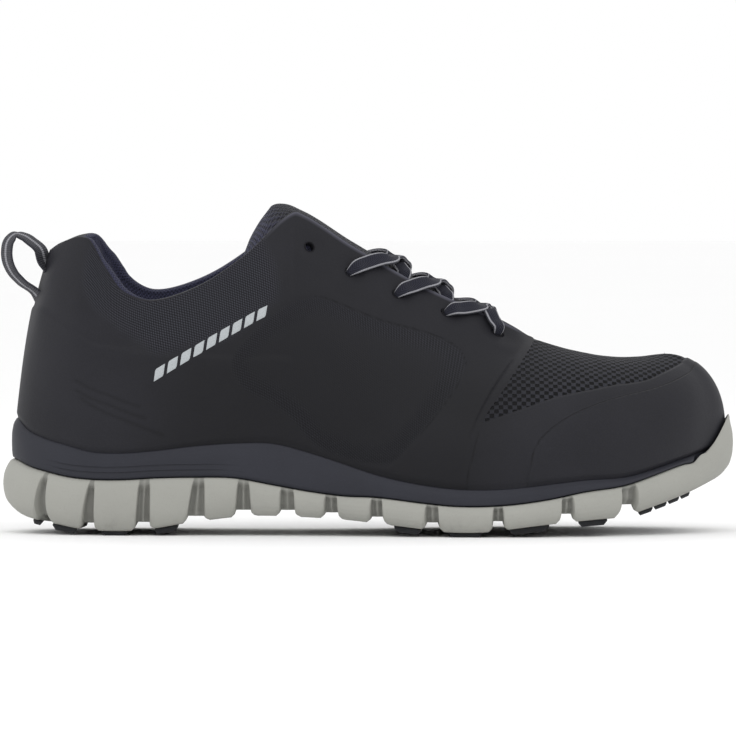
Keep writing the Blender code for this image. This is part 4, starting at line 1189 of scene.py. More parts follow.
def make_lining():
    """Padded lining: from the outer face's top line a half ellipse over the rim, then down the
    inner face, which swells at the collar. The arch is highest beside the ankle. The layer rim is
    how far a place belongs to the film that covers the rim, up to a distance called cover."""
    columns, arch, down = LINING_GRID
    u = even_sections(columns, 0.98)
    theta = np.linspace(0, math.pi, arch)
    fall = 1 - np.linspace(0, 1, down) ** 1.1 * 0.97
    parts, grid = Parts(), quads(columns, arch + down - 1)
    padded = ramp(8.4 - u, 0.0, 1.6)
    rise = MM * np.interp(u, (0.0, 1.7, 2.5, 3.6, 4.8, 6.2, 8.0, 14.0),
                          (0.3, 0.3, 2.0, 3.2, 1.3, 0.8, 0.5, 0.5))
    cover = np.interp(u, (0.0, 1.2, 2.0, 4.2, 5.6, 8.4, 9.0, 14.0),
                      (4.5, 4.0, 0.8, 0.8, 2.2, 2.6, 4.5, 4.5))
    closed = u >= THROAT_END
    rim = edge_share(u)
    for side in SIDES:
        top, low = upper_point(u, rim, side), upper_point(u, rim - 0.03, side)
        normal = upper_normal(u, np.minimum(rim, 0.999), side)
        line = unit(np.gradient(top, axis=0))
        up = top - low
        up = unit(up - line * (up * line).sum(axis=-1, keepdims=True))
        height, _ = upper_relief(u, rim)
        outer = top + normal * np.where(closed, -WALL, height - 0.00012)[:, None]
        inner = upper_inner(u, rim, side)
        middle, half = (outer + inner) / 2, (outer - inner) / 2
        over = (middle[:, None] + half[:, None] * np.cos(theta)[None, :, None]
                + (up * np.where(closed, 0, rise)[:, None])[:, None] * np.sin(theta)[None, :, None])
        uu, vv = np.broadcast_arrays(u[:, None], fall[None, :] * rim[:, None])
        puff = 0.0012 * np.sin(np.clip((vv - 0.62) / 0.36, 0, 1) * math.pi) * padded[:, None]
        wall = upper_inner(uu, vv, side, puff)
        face = np.concatenate([over, wall[:, 1:]], axis=1)
        steps = np.linalg.norm(np.diff(face, axis=1), axis=-1)
        run = np.concatenate([0 * u[:, None], np.cumsum(steps, axis=1)], axis=1) / MM
        spot = np.stack(np.broadcast_arrays(flat(u, 1.0)[:, :1], run, 0.0), axis=-1)
        parts.add(face, grid, side == MEDIAL, weave=spot,
                  rim=1 - ramp(run - cover[:, None], -0.2, 0.2))
    piece = parts.piece("lining", lining_finish(), 2e-6)
    return piece


def under_wall(u, v, across):
    """Points just inside the upper, on the side that across points to."""
    inner = [upper_inner(u, v, side, TONGUE_CLEAR) for side in SIDES]
    return np.where((across > 0)[..., None], inner[1], inner[0])


def tongue_face(u, across):
    """Upper face of the tongue: an arc between the eyestays, then on under them."""
    u, across = paired(u, across)
    far = np.abs(across)
    edge = under_wall(u, np.ones_like(u), across)
    tuck = np.clip((far - TONGUE_OPEN) / (1 - TONGUE_OPEN), 0, 1) * column_at(TONGUE, 3, u)
    under = under_wall(u, 1 - tuck, across)
    share = np.minimum(far / TONGUE_OPEN, 1)[..., None]
    x = SOLE_LENGTH * column_at(TONGUE, 1, u)
    crown = np.stack([x, centre_y(x), UPPER_HEIGHT * column_at(TONGUE, 2, u)], axis=-1)
    arc = crown + (edge - crown) * np.concatenate([share ** 2, share, share ** 2], axis=-1)
    closed = under_wall(u, 1 - 0.34 * far, across)
    open_face = np.where((far > TONGUE_OPEN)[..., None], under, arc)
    blend = ramp(u, 13.5, 14.1)[..., None]
    return open_face * (1 - blend) + closed * blend


def make_tongue():
    """Padded tongue: its cross-section is a flattened oval laid under its upper face, full and
    round at its free end, where a quarter circle closes it, and thin under the vamp."""
    rows, loop = TONGUE_GRID
    quarter = np.cos(np.linspace(0, math.pi / 2, 16)[:-1])
    ends = np.concatenate([TONGUE_FIRST - TONGUE_ROUND * quarter,
                           np.linspace(TONGUE_FIRST, TONGUE_LAST, rows)])
    angle = np.linspace(0, 2 * math.pi, loop, endpoint=False)
    across, lift = squared(np.cos(angle), 0.75)[None, :], squared(np.sin(angle), 0.8)[None, :]
    u, step = np.maximum(ends, TONGUE_FIRST), 0.02
    face = tongue_face(u[:, None], across)
    ahead = tongue_face(u[:, None] + step, across) - face
    aside = (tongue_face(u[:, None], np.clip(across + step, -1, 1))
             - tongue_face(u[:, None], np.clip(across - step, -1, 1)))
    normal = unit(np.cross(ahead, aside))
    share = ramp(u, 7.6, 11.0)[:, None]
    thick = TONGUE_THICK - (TONGUE_THICK - TONGUE_THIN) * share
    close = np.clip((TONGUE_FIRST - ends) / TONGUE_ROUND, 0, 1)[:, None]
    round_end = np.sqrt(np.maximum(0, 1 - close ** 2))
    quilt = 1 + 0.06 * np.cos((u[:, None] - 7.4) * 2 * math.pi / 0.9) * (1 - share)
    depth = (1 - lift * round_end) / 2 * thick
    swell = 0.0008 * np.maximum(lift, 0) * (1 - np.abs(across) ** 2) * quilt
    points = face - normal * (depth - swell * (1 - share) * round_end)[..., None]
    points = points - unit(ahead) * (close * 0.0042)[..., None]
    last = points[-1:].mean(axis=1, keepdims=True) * np.ones_like(points[-1:])
    points = np.concatenate([points[:1], points, last])
    run, around = walk(points[:, 22]) / MM, walk(points[40]) / MM
    spot = np.stack(np.broadcast_arrays(run[:, None], around[None, :], 0.0), axis=-1)
    faces = quads(len(points), loop, True)
    cap = np.arange(loop // 2)
    caps = np.stack([cap[:-1], cap[1:], (loop - cap[1:]) % loop, (loop - cap[:-1]) % loop],
                    axis=-1)
    piece = make_piece("tongue_pad", points, np.concatenate([faces, caps]), tongue_finish(),
                       {"weave": spot.reshape(-1, 3)})
    mend_normals(piece)
    return piece


def along_curve(points, count):
    """Smooth curve through points at even steps, a cubic between each two of them."""
    points = np.asarray(points, dtype=float)
    knots = walk(points[:, :3])
    at = np.linspace(0, knots[-1], count)
    return np.stack([smooth(at, knots, points[:, k]) for k in range(points.shape[1])], axis=-1)


def band_strip(name, path, facing, width, thickness, material, corner, loop=20):
    """Flat strip with soft edges: a flattened oval carried along a path, its broad side towards
    the facing directions. width and thickness may change along it."""
    width, thickness = np.broadcast_to(width, len(path)), np.broadcast_to(thickness, len(path))
    ahead = unit(np.gradient(path, axis=0))
    over = unit(np.cross(ahead, facing))
    face = np.cross(over, ahead)
    angle = np.linspace(0, 2 * math.pi, loop, endpoint=False)
    wide, thick = squared(np.cos(angle), corner), squared(np.sin(angle), 0.6)
    ring = (over[:, None] * (width / 2)[:, None, None] * wide[None, :, None]
            + face[:, None] * (thickness / 2)[:, None, None] * thick[None, :, None])
    points = np.concatenate([(path[:, None] + ring).reshape(-1, 3), path[:1], path[-1:]])
    run = walk(path) / MM
    spot = np.stack(np.broadcast_arrays(run[:, None], wide[None, :], 0.0), axis=-1).reshape(-1, 3)
    spot = np.concatenate([spot, [[run[0], 0, 0], [run[-1], 0, 0]]])
    piece = make_piece(name, points, quads(len(path), loop, True), material, {"weave": spot}, None)
    k = np.arange(loop)
    first, last, start = len(points) - 2, len(points) - 1, (len(path) - 1) * loop
    add_triangles(piece, np.concatenate([
        np.stack([k, (k + 1) % loop, 0 * k + first], axis=-1),
        np.stack([start + (k + 1) % loop, start + k, 0 * k + last], axis=-1)]))
    mend_normals(piece)
    return piece


def add_triangles(piece, triangles):
    """Adds triangles between points that a piece already has."""
    def add(work):
        work.verts.ensure_lookup_table()
        for corners in triangles.tolist():
            work.faces.new([work.verts[corner] for corner in corners]).smooth = True

    edit_mesh(piece.data, add)


def strand(crossing, near, above):
    """One strand of a crossing, as rows of point, facing, width and thickness. It comes out of its
    eyelet on the near side, over the eyestay in the lowest row and under it in the others, crosses
    the tongue, there raised by above, and goes down into the eyelet on the other side. Its width
    shrinks where it enters an eyelet."""
    start, end, first_edge, middle, second_edge = crossing
    (u_a, v_a), (u_b, v_b) = EYELET_PLACES[start], EYELET_PLACES[end]
    up = np.array([0.0, 0.0, 1.0])
    rows = []

    def wall(share, v, side, raised, wide, thick=1.0, level_off=0.0):
        u = u_a + (u_b - u_a) * share
        normal = upper_normal(u, v, side)
        normal = unit(normal * (1 - level_off) + up * level_off)
        spot = upper_point(u, v, side) + normal * raised
        rows.append(np.concatenate([spot, normal, [wide, thick]]))

    def over(share, across):
        u = u_a + (u_b - u_a) * share
        spot = tongue_face(u, near * across)
        spot = spot + up * (LACE_THICKNESS / 2 + 0.0006 + above * (1 - abs(across) / TONGUE_OPEN))
        taut = upper_point(u, 1.0, near)[2] + LACE_LIFT * (0.9 - 2 * abs(across)) + above
        spot[2] = max(spot[2], taut)
        lean = up + np.array([0.0, near * across * 0.9, 0.0])
        rows.append(np.concatenate([spot, unit(lean), [1.0, 1.0]]))

    if start == len(EYELET_PLACES) - 1:
        wall(0.0, v_a, near, -0.0036, 0.42, 1.5)
        wall(0.0, v_a, near, -0.0006, 0.46, 1.5)
        wall(0.035, v_a + 0.014, near, LACE_LIFT + 0.0005, 0.86, 1.2)
        wall(first_edge * 0.6, v_a + (1 - v_a) * 0.55, near, LACE_LIFT + 0.0006, 0.95)
        wall(first_edge, 1.0, near, LACE_LIFT + 0.0008, 1.0, level_off=0.5)
    else:
        wall(0.0, v_a + 0.02, near, -WALL - 0.0012, 0.6, 0.7)
        wall(first_edge / 2, v_a + (1 - v_a) * 0.6, near, -WALL - 0.0009, 0.9, 0.7)
        over(first_edge, 0.40)
    over((first_edge + middle) / 2, 0.22)
    over(middle, 0.0)
    over((middle + second_edge) / 2, -0.22)
    wall(second_edge, 1.0, -near, LACE_LIFT + 0.0003, 1.0, level_off=0.45)
    for share, lift, wide, leaning in ((0.25, 0.0005, 1.0, 0.15), (0.60, 0.0004, 1.0, 0.0),
                                       (0.88, 0.0005, 0.9, 0.0)):
        wall(second_edge + (1 - second_edge) * share, 1 + (v_b - 1) * share ** 1.3, -near,
             LACE_LIFT + lift, wide, level_off=leaning)
    wall(1.0, v_b, -near, -0.0004, 0.5, 1.5)
    wall(1.0, v_b, -near, -0.0040, 0.42, 1.5)
    return rows


def make_laces():
    """Lace in its eyelets: three crossings of two strands, each strand a flat braid that ends
    behind the wall of the eyelet that it goes into."""
    finish = lace_finish()
    width = sizes().lace_width
    pieces = []
    for number, crossing in enumerate(CROSSINGS, start=1):
        for label, near, above in (("a", LATERAL, 0.0), ("b", MEDIAL, 0.0012)):
            rows = along_curve(strand(crossing, near, above), STRIP_ROWS)
            piece = band_strip("lace_%d%s" % (number, label), rows[:, :3], rows[:, 3:6],
                               width * rows[:, 6], LACE_THICKNESS * rows[:, 7], finish, 0.45)
            pieces.append(piece)
    return pieces


def make_pull_loop():
    """Webbing loop: a flat strip along the loop's side curve, both ends on the heel seam. Its
    face leans to the outer side where the loop is steep, and lies level over the top."""
    anchor = upper_outer(np.array([0.0]), np.array([LOOP_SEAM]), LATERAL, GAP)[0]
    x = anchor[0] - (LOOP_REACH - LOOP_SHY) * column(LOOP, 0)
    z = anchor[2] + LOOP_REACH * column(LOOP, 1)
    v = np.linspace(0.4, 1, 200)
    heel = upper_outer(np.zeros_like(v), v, LATERAL, 0.0)

    def on_heel(height, lift):
        return [np.interp(height, heel[:, 2], heel[:, 0]) - lift, height]

    head = [on_heel(anchor[2] - 0.0050, -0.0028), on_heel(anchor[2] - 0.0020, 0.0004)]
    foot = [on_heel(z[-1] - 0.0012, 0.0004), on_heel(z[-1] - 0.0052, -0.0028)]
    path = np.concatenate([head, np.stack([x, z], axis=1)[1:-1], foot])
    path = along_curve(np.stack([path[:, 0], 0 * path[:, 0], path[:, 1]], axis=1), LOOP_ROWS)
    facing = unit(np.cross((0.0, 1.0, 0.0), np.gradient(path, axis=0)))
    lean = np.radians(6 + 17 * np.abs(facing[:, :1]))
    facing = facing * np.cos(lean) + np.array([0.0, LATERAL, 0.0]) * np.sin(lean)
    piece = band_strip("pull_webbing", path, facing, sizes().loop_width, LOOP_THICKNESS,
                       webbing_finish(), 0.25, 28)
    return piece


def sole_stations():
    """Stations of the grey foam, with extra ones round the edges of each groove: the place along
    the band and along the floor, how far the groove cuts from 0 to 1, its ceiling, the rib in its
    middle and the bevel of the blocks beside it."""
    edges, lows, highs = [], [0.0], [0.0]
    for low_start, low_end, high_start, high_end, _ in GROOVES:
        lows += [low_start, low_end]
        highs += [high_start, high_end]
        edges += [high_start, high_end]
    lows.append(1.0)
    highs.append(1.0)
    near_edge = np.array([-2.6, -1.9, -1.3, -0.7, -0.35, -0.1, 0.14, 0.3, 0.6, 1.0])
    extra = np.array(edges)[:, None] + near_edge * MM / SOLE_LENGTH
    high = np.sort(np.concatenate([even_stations(260), extra.ravel()]))
    high = high[np.concatenate([[True], np.diff(high) > 1e-5])]
    low = np.interp(high, highs, lows)
    cut, roof, rib, bevel = (np.zeros_like(high) for _ in range(4))
    for low_start, low_end, high_start, high_end, ceiling in GROOVES:
        depth = np.minimum(high - high_start, high_end - high) * SOLE_LENGTH / MM
        share = ramp(depth, -0.45, 0.30)
        cut = np.maximum(cut, share)
        bevel = np.maximum(bevel, np.clip((depth + 1.9) / 1.7, 0, 1))
        roof = np.where(depth > -0.6, ceiling, roof)
        middle = (high_start + high_end) / 2
        rib = np.maximum(rib, np.exp(-((high - middle) * SOLE_LENGTH / MM / 0.55) ** 2)
                         * (depth > 0.2) * ramp(high_end - high_start, 0.006, 0.012))
    return high, low, cut, roof, rib, bevel


def soften(profile, reach):
    """Rounds every inner corner of each profile: it becomes two points, a set reach before and
    after it, or half way along a short edge."""
    before = np.linalg.norm(profile[:, 1:-1] - profile[:, :-2], axis=-1, keepdims=True)
    after = np.linalg.norm(profile[:, 2:] - profile[:, 1:-1], axis=-1, keepdims=True)
    first = profile[:, 1:-1] + (profile[:, :-2] - profile[:, 1:-1]) * np.minimum(
        0.4, reach / np.maximum(before, 1e-9))
    second = profile[:, 1:-1] + (profile[:, 2:] - profile[:, 1:-1]) * np.minimum(
        0.4, reach / np.maximum(after, 1e-9))
    middle = np.stack([first, second], axis=2).reshape(len(profile), -1, 3)
    return np.concatenate([profile[:, :1], middle, profile[:, -1:]], axis=1)


def divide(profile, longest):
    """Splits each edge of the profiles into equal parts no longer than a length, by the longest
    edges of both halves."""
    parts = []
    for k in range(profile.shape[1] - 1):
        start, end = profile[:, k], profile[:, k + 1]
        long = np.percentile(np.linalg.norm(end - start, axis=-1), 90)
        count = int(np.clip(np.ceil(long / longest), 1, 14))
        share = np.arange(count)[None, :, None] / count
        parts.append(start[:, None] * (1 - share) + end[:, None] * share)
    parts.append(profile[:, -1:])
    return np.concatenate(parts, axis=1)


def section_of(turned):
    """Section of the upper whose foot stands at a station of the outline."""
    u = np.linspace(0, LAST_SECTION, 600)
    return np.interp(turned, foot_turn(u), u)


def front_face(turned, side, height, clear):
    """Points a clearance outside the upper's front at given heights."""
    v = np.linspace(0, 0.6, 61)
    face = upper_outer(*np.meshgrid(section_of(turned), v, indexing="ij"), side, clear)
    over = np.clip((face[..., 2] < height[:, None]).sum(axis=1), 1, len(v) - 1)
    rows = np.arange(len(turned))
    low, high = face[rows, over - 1], face[rows, over]
    share = np.clip((height - low[:, 2]) / np.maximum(high[:, 2] - low[:, 2], 1e-9), 0, 1)[:, None]
    return low + (high - low) * share


def sole_level(number, along):
    return SOLE_HEIGHT * column_at(EDGE_LINES, number, along)


def joint(high):
    """Height where the grey foam ends and the slate band begins, in the middle of the sole."""
    return np.minimum(sole_level(3, high) - BAND_FLOOR, sole_level(1, high) - EDGE_STEP)


def lips(high):
    """How far the step of the joint lies inside the grey foam's edge, at its top and its foot."""
    share = np.clip((high - 0.89) / 0.05, 0, 1)
    return 0.0022 - 0.0015 * share, 0.0072 - 0.0062 * share


def grey_profile(side, stations):
    """Profiles of the grey foam at all stations: top, lip, wall with its grooves, underside."""
    high, low, cut, roof, rib, bevel = stations
    t_low, t_high = turn(low), turn(high)
    centre, bed = spine(t_high), joint(high)
    rim = inset(t_high, side, 3)
    bumper = ramp(high, BUMPER_START - BUMPER_BLEND, BUMPER_START)
    grey = level(rim, 1) + (sole_level(1, high) - level(rim, 1)) * bumper
    foot = inset(t_low, side, 4)
    cut_share = ramp(cut, 0.15, 0.85)

    def grooved(point):
        plain = underside(point) + 0.0014 * bevel
        return plain + (SOLE_HEIGHT * roof - plain) * cut_share * (roof > 0)

    def against_upper(height):
        return with_z(front_face(t_high, side, height, 2 * GAP), height)

    base = grooved(foot)
    lip_top, lip_foot = lips(high)
    plain_points = [edge_at(t_high, side, 3, bed + share * (grey - bed),
                            lip_foot + share * (lip_top - lip_foot)) for share in (0.0, 0.33, 0.67)]
    plain_points += [edge_at(t_high, side, 3, grey, lip_top), with_z(rim, grey)]
    feather = level(inset(t_high, side, 1), 2)
    wall, lip = against_upper(feather), against_upper(np.maximum(grey, feather + 1e-5))
    bumper_points = [with_z(wall, bed), wall, against_upper((feather + grey) / 2), lip,
                     lip - outline(t_high, side)[1] * BUMPER_LIP]
    points = [with_z(centre, bed)]
    points += [plain + (raised - plain) * bumper[:, None]
               for raised, plain in zip(bumper_points, plain_points)]
    top_in = BALL_WIDTH * column_at(INSETS, 3, high)
    foot_in = BALL_WIDTH * column_at(INSETS, 4, low)
    depth = GROOVE_DEPTH * cut * (1 - 0.40 * rib)
    for share, bulge in ((0.90, 0.55), (0.74, 0.14), (0.56, 0.0), (0.38, 0.05), (0.22, 0.22),
                         (0.08, 0.62)):
        turned = t_low + (t_high - t_low) * share
        point, inward = outline(turned, side)
        far = depth * ramp(1 - share, 0.07, 0.27) + bulge * (top_in if share > 0.5 else foot_in)
        points.append(with_z(point + inward * far[:, None], base + share * (grey - base)))
    middle = spine(t_low)
    points.append(with_z(foot + outline(t_low, side)[1] * (depth * 0.6)[:, None], base))
    points.append(with_z(middle, grooved(middle)))
    return np.stack(points, axis=1)


def make_grey_foam():
    """Grey foam: profiles at every station of both sides, softened at their corners, joined along
    the middle of the top and the underside. Its layer deep is the painted shade
    inside the grooves, lighter on the rib in their middle."""
    stations = sole_stations()
    halves = np.concatenate([grey_profile(side, stations) for side in SIDES])
    halves = np.split(divide(soften(soften(halves, 0.0008), 0.0003), 0.0030), 2)
    grid = quads(*halves[0].shape[:2])
    # Painted shade inside the grooves, lighter on the raised rib in their middle
    shadow = ramp(stations[2], 0.3, 1.0) * (1 - 0.45 * stations[4])
    deep = shadow[:, None] * np.ones(halves[0].shape[1])[None, :]
    foam = Parts()
    for side, half in zip(SIDES, halves):
        foam.add(half, grid, side == LATERAL, deep=deep)
    piece = foam.piece("grey_foam_sole", grey_finish())
    mend_normals(piece)
    return piece


def make_slate_band():
    """Slate foam band: a dish from the foot bed up to a rounded rim, down its outer face with a
    slight hollow, and back under the bed. Its layer rise is the height above the grey foam."""
    high = even_stations(330)
    turned = turn(high)
    halves, greys = [], []
    for side in SIDES:
        centre, bed = spine(turned), sole_level(3, high)
        edge = inset(turned, side, 1, GAP)
        feather = level(edge, 2)
        grey = level(inset(turned, side, 3), 1)
        greys.append(grey[:, None])
        under = joint(high) + GAP
        front = ramp(high, BUMPER_START - BUMPER_BLEND - BAND_SHY, BUMPER_START - BAND_SHY)
        outer = grey + (sole_level(1, BUMPER_START - BAND_SHY) - grey) * front + GAP
        lip_top, lip_foot = lips(high)
        profile = [with_z(centre, bed), edge_at(turned, side, 1, bed, RIM_INNER + BED_CORNER),
                   edge_at(turned, side, 1, bed + 0.05 * (feather - bed), RIM_INNER + 0.002),
                   edge_at(turned, side, 1, feather, RIM_INNER)]
        open_rows = [edge_at(turned, side, 1, feather + 0.0005, -0.0003)]
        for share, extra in ((0.12, 0.0009), (0.34, 0.0002), (0.60, 0.0001), (0.85, 0.0002)):
            down = feather - share * (feather - outer)
            open_rows.append(edge_at(turned, side, 2, down, extra))
        open_rows += [edge_at(turned, side, 2, outer, 0.0006),
                      edge_at(turned, side, 3, outer, lip_top + 1.5 * GAP),
                      edge_at(turned, side, 3, under, lip_foot + 3 * GAP)]
        closed_rows = [with_z(edge, feather - share * (feather - outer))
                       for share in (0.0, 0.12, 0.34, 0.60, 0.85, 1.0)]
        closed_rows += [with_z(edge, outer - GAP), with_z(edge, under)]
        profile += [a + (b - a) * front[:, None] for a, b in zip(open_rows, closed_rows)]
        profile.append(with_z(centre, under))
        halves.append(soften(np.stack(profile, axis=1), 0.0006))
    halves = np.split(divide(np.concatenate(halves), 0.0022), 2)
    grid = quads(*halves[0].shape[:2])
    band = Parts()
    for side, half, grey in zip(SIDES, halves, greys):
        band.add(half, grid, side == LATERAL, rise=(half[..., 2] - grey) / MM)
    piece = band.piece("slate_band", slate_finish())
    mend_normals(piece)
    return piece


def make_insole():
    """Insole: a thin sheet in the dish, with a rounded edge and a shallow hollow under the heel."""
    high, flat_points = even_stations(180), 24
    turned = turn(high)
    sheet = Parts()
    for side in SIDES:
        edge = inset(turned, side, 1, RIM_INNER + BED_CORNER)
        centre = spine(turned)
        bed = sole_level(3, high) + GAP
        share = np.concatenate([np.linspace(0, 0.94, flat_points),
                                [0.975, 0.995, 1.0, 0.995, 0.9, 0.0]])
        lift = np.concatenate([np.ones(flat_points), [0.93, 0.72, 0.4, 0.05, 0.0, 0.0]])
        face = centre[:, None] * (1 - share[None, :, None]) + edge[:, None] * share[None, :, None]
        hollow = 0.0004 * np.sin(math.pi * np.clip(share, 0, 1)) ** 2
        face[..., 2] = bed[:, None] + (INSOLE_THICKNESS - hollow)[None, :] * lift[None, :]
        sheet.add(face, quads(*face.shape[:2]), side == LATERAL)
    piece = sheet.piece("insole_sheet", insole_finish())
    mend_normals(piece)
    return piece


def make_tape():
    """Reflective tape on both sides: a slanted row of equal bars, each a grid a hair above the
    face, with its border sunk just under it."""
    bars = Parts()
    start, end = flat(*TAPE[0]), flat(*TAPE[1])
    run = (end - start) / np.linalg.norm(end - start)
    square = np.array([-run[1], run[0]])
    length, width = np.linalg.norm(end - start), sizes().tape_width / MM
    pitch = length / TAPE_BARS
    for side in SIDES:
        for k in range(TAPE_BARS):
            s, t = np.meshgrid(np.linspace(0, 1, 9), np.linspace(-0.5, 0.5, 7), indexing="ij")
            ahead = (k + s * BAR_LENGTH) * pitch + t * width * BAR_SLANT
            u, v = from_chart(start + run * ahead[..., None] + square * (t * width)[..., None])
            height, _ = upper_relief(u, v)
            middle = (s > 0) & (s < 1) & (np.abs(t) < 0.5)
            face = lifted(u, v, side, height + np.where(middle, 0.00022, -0.00010))
            bars.add(face, quads(*s.shape), side == MEDIAL)
    piece = bars.piece("reflective_bars", tape_finish(), None)
    return piece


class SneakerSizes(bpy.types.PropertyGroup):
    lace_width: bpy.props.FloatProperty(
        name="Lace width", description="Width of the flat lace", default=0.0062, unit="LENGTH")
    loop_width: bpy.props.FloatProperty(
        name="Loop width", description="Width of the pull loop's webbing", default=0.012,
        unit="LENGTH")
    tape_width: bpy.props.FloatProperty(
        name="Tape width", description="Width of the reflective bars", default=0.0046,
        unit="LENGTH")
    floor_size: bpy.props.FloatProperty(
        name="Floor size", description="Side of the floor under the shoe", default=24.0,
        unit="LENGTH")
    camera_distance: bpy.props.FloatProperty(
        name="Camera distance", description="From the camera to the shoe's middle", default=3.2,
        unit="LENGTH")
    camera_elevation: bpy.props.FloatProperty(
        name="Camera elevation", description="Angle of the view above the floor",
        default=math.radians(1.5), unit="ROTATION")


def colour_property(name, description, default):
    return bpy.props.FloatVectorProperty(name=name, description=description, default=default,
                                         subtype="COLOR", size=3, min=0.0, max=1.0)


class SneakerColours(bpy.types.PropertyGroup):
    film: colour_property("Film", "Charcoal film of the upper", tone(31, 31, 36))
    thread: colour_property("Thread", "Threads of the mesh and knit", tone(53, 54, 61))
    navy: colour_property("Navy", "Lining and tongue mesh", tone(46, 47, 66))
    lace: colour_property("Lace", "Braid of the lace", tone(29, 30, 41))
    cord: colour_property("Cord", "Light edge of the lace and stripe of the loop",
                          tone(150, 150, 156))
    webbing: colour_property("Webbing", "Webbing of the pull loop", tone(50, 50, 57))
    slate: colour_property("Slate", "Slate foam band", tone(45, 46, 53))
    grey: colour_property("Grey", "Light grey foam of the sole", tone(157, 157, 151))
    rubber: colour_property("Rubber", "Pads under the sole", tone(30, 31, 34))
    insole: colour_property("Insole", "Cloth of the insole", tone(40, 40, 46))
    tape: colour_property("Tape", "Reflective bars", tone(176, 181, 184))
    floor: colour_property("Floor", "Pale floor", tone(253, 253, 253))


class SNEAKER_OT_upper(bpy.types.Operator):
    """Film and knit shell of the upper, with its punched eyelets and the reflective bars"""
    bl_idname = "sneaker.upper"
    bl_label = "Upper"

    def execute(self, context):
        shell = make_upper()
        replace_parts(shell, "upper")
        make_eyelets()
        make_tape()
        return {"FINISHED"}


class SNEAKER_OT_lining(bpy.types.Operator):
    """Padded collar and lining, and the insole"""
    bl_idname = "sneaker.lining"
    bl_label = "Lining and insole"

    def execute(self, context):
        make_lining()
        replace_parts(make_insole(), "insole")
        return {"FINISHED"}


class SNEAKER_OT_tongue(bpy.types.Operator):
    """Padded tongue"""
    bl_idname = "sneaker.tongue"
    bl_label = "Tongue"

    def execute(self, context):
        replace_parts(make_tongue(), "tongue")
        return {"FINISHED"}


class SNEAKER_OT_laces(bpy.types.Operator):
    """Laces run through the eyelets"""
    bl_idname = "sneaker.laces"
    bl_label = "Laces"

    def execute(self, context):
        for piece in make_laces():
            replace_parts(piece, "lace_cross_" + piece.name[len("lace_")])
        return {"FINISHED"}


class SNEAKER_OT_pull_loop(bpy.types.Operator):
    """Webbing loop at the heel"""
    bl_idname = "sneaker.pull_loop"
    bl_label = "Pull loop"

    def execute(self, context):
        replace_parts(make_pull_loop(), "pull_loop")
        return {"FINISHED"}


class SNEAKER_OT_sole(bpy.types.Operator):
    """Grey foam, slate band and rubber pads"""
    bl_idname = "sneaker.sole"
    bl_label = "Sole"

    def execute(self, context):
        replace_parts(make_grey_foam(), "midsole")
        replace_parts(make_slate_band(), "midsole_band")
        rubber = rubber_finish()
        for name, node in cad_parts.items():
            if name.startswith("tread_"):
                node.data.materials.clear()
                node.data.materials.append(rubber)
        return {"FINISHED"}


class SNEAKER_OT_stage(bpy.types.Operator):
    """Pale floor, soft lights and the camera at the photograph's angle"""
    bl_idname = "sneaker.stage"
    bl_label = "Stage"

    def execute(self, context):
        make_floor()
        make_lights()
        make_camera()
        return {"FINISHED"}


def make_floor():
    """Flat square grid under the shoe."""
    half, lines = sizes().floor_size / 2, 9
    x, y = np.meshgrid(*[np.linspace(-half, half, lines)] * 2, indexing="ij")
    mesh = bpy.data.meshes.new("floor")
    mesh.from_pydata(np.stack([x, y, 0 * x], axis=-1).reshape(-1, 3).tolist(), [],
                     quads(lines, lines).tolist())
    finish = Finish("pale floor", 0.9)
    place, _ = finish.place()
    cloud = finish.noise(place, 1.5, 2.0)
    pale = own_colour("floor")
    mesh.materials.append(finish.done(finish.mix(cloud, shade(pale, 0.985), shade(pale, 1.0))))
    floor = add_object("floor", mesh)


def aim(thing, place, target):
    """Puts a light or camera at a place and points it at a target."""
    place = Vector(place)
    thing.location = place
    thing.rotation_euler = (Vector(target) - place).to_track_quat("-Z", "Y").to_euler()


def make_light(name, place, target, size, power):
    light = bpy.data.lights.new(name, "AREA")
    light.shape, light.size, light.size_y, light.energy = "RECTANGLE", size[0], size[1], power
    aim(add_object(name, light), place, target)


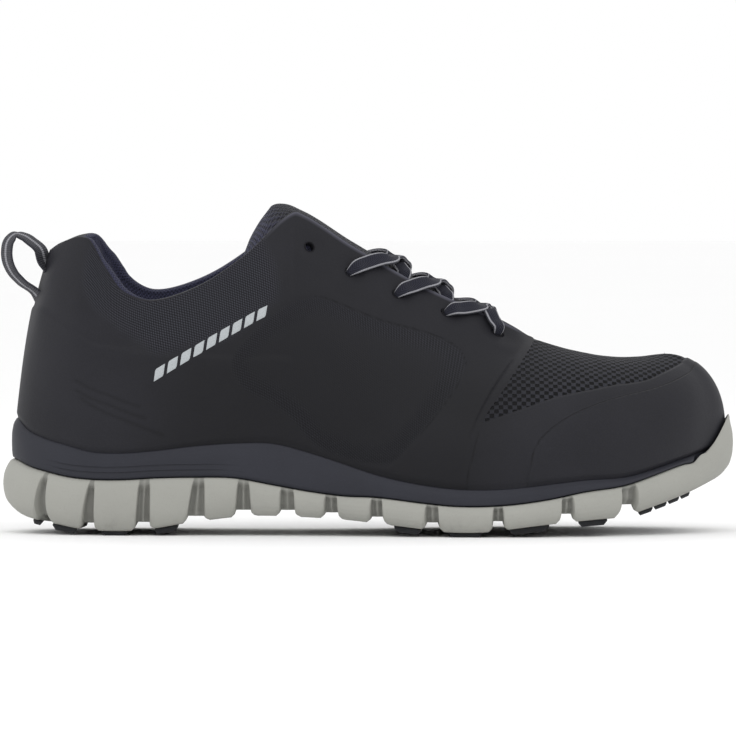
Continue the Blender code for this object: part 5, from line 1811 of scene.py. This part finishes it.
def make_lights():
    """White surroundings, a wide soft light from above and in front, and weaker ones ahead, at the
    heel and behind."""
    world = bpy.data.worlds.new("studio")
    world.use_nodes = True
    sky = world.node_tree.nodes["Background"]
    sky.inputs["Color"].default_value = (*WHITE, 1.0)
    sky.inputs["Strength"].default_value = 1.0
    bpy.context.scene.world = world
    for light in LIGHTS:
        make_light(*light)


def make_camera():
    """Long lens square to the outer side, which sees as much of the shoe as the photograph."""
    view = bpy.data.cameras.new("camera")
    distance, rise = sizes().camera_distance, sizes().camera_elevation
    view.sensor_width = SENSOR_WIDTH
    view.lens = SENSOR_WIDTH * distance / PHOTO_WIDTH
    view.clip_start, view.clip_end = 0.05, 100.0
    camera = add_object("camera", view)
    away = Vector((0.0, -math.cos(rise), math.sin(rise))) * distance
    aim(camera, Vector(CAMERA_TARGET) + away, CAMERA_TARGET)
    bpy.context.scene.camera = camera
    bpy.context.scene.view_settings.view_transform = "Standard"


class SNEAKER_PT_panel(bpy.types.Panel):
    """Sizes, colours and the operators that build the sneaker"""
    bl_idname = "SNEAKER_PT_panel"
    bl_label = "Sneaker"
    bl_space_type = "VIEW_3D"
    bl_region_type = "UI"
    bl_category = "Sneaker"

    def draw(self, context):
        for group in (context.scene.sneaker_sizes, context.scene.sneaker_colours):
            for name in group.__annotations__:
                self.layout.prop(group, name)
        for operator in OPERATORS:
            self.layout.operator(operator.bl_idname)


OPERATORS = (SNEAKER_OT_sole, SNEAKER_OT_upper, SNEAKER_OT_lining, SNEAKER_OT_tongue,
             SNEAKER_OT_laces, SNEAKER_OT_pull_loop, SNEAKER_OT_stage)
CLASSES = (SneakerSizes, SneakerColours, *OPERATORS, SNEAKER_PT_panel)


def register():
    for kind in CLASSES:
        bpy.utils.register_class(kind)
    bpy.types.Scene.sneaker_sizes = bpy.props.PointerProperty(type=SneakerSizes)
    bpy.types.Scene.sneaker_colours = bpy.props.PointerProperty(type=SneakerColours)


def unregister():
    del bpy.types.Scene.sneaker_colours
    del bpy.types.Scene.sneaker_sizes
    for kind in reversed(CLASSES):
        bpy.utils.unregister_class(kind)


def main():
    register()
    for operator in OPERATORS:
        group, name = operator.bl_idname.split(".")
        getattr(getattr(bpy.ops, group), name)()


if __name__ == "__main__":
    main()
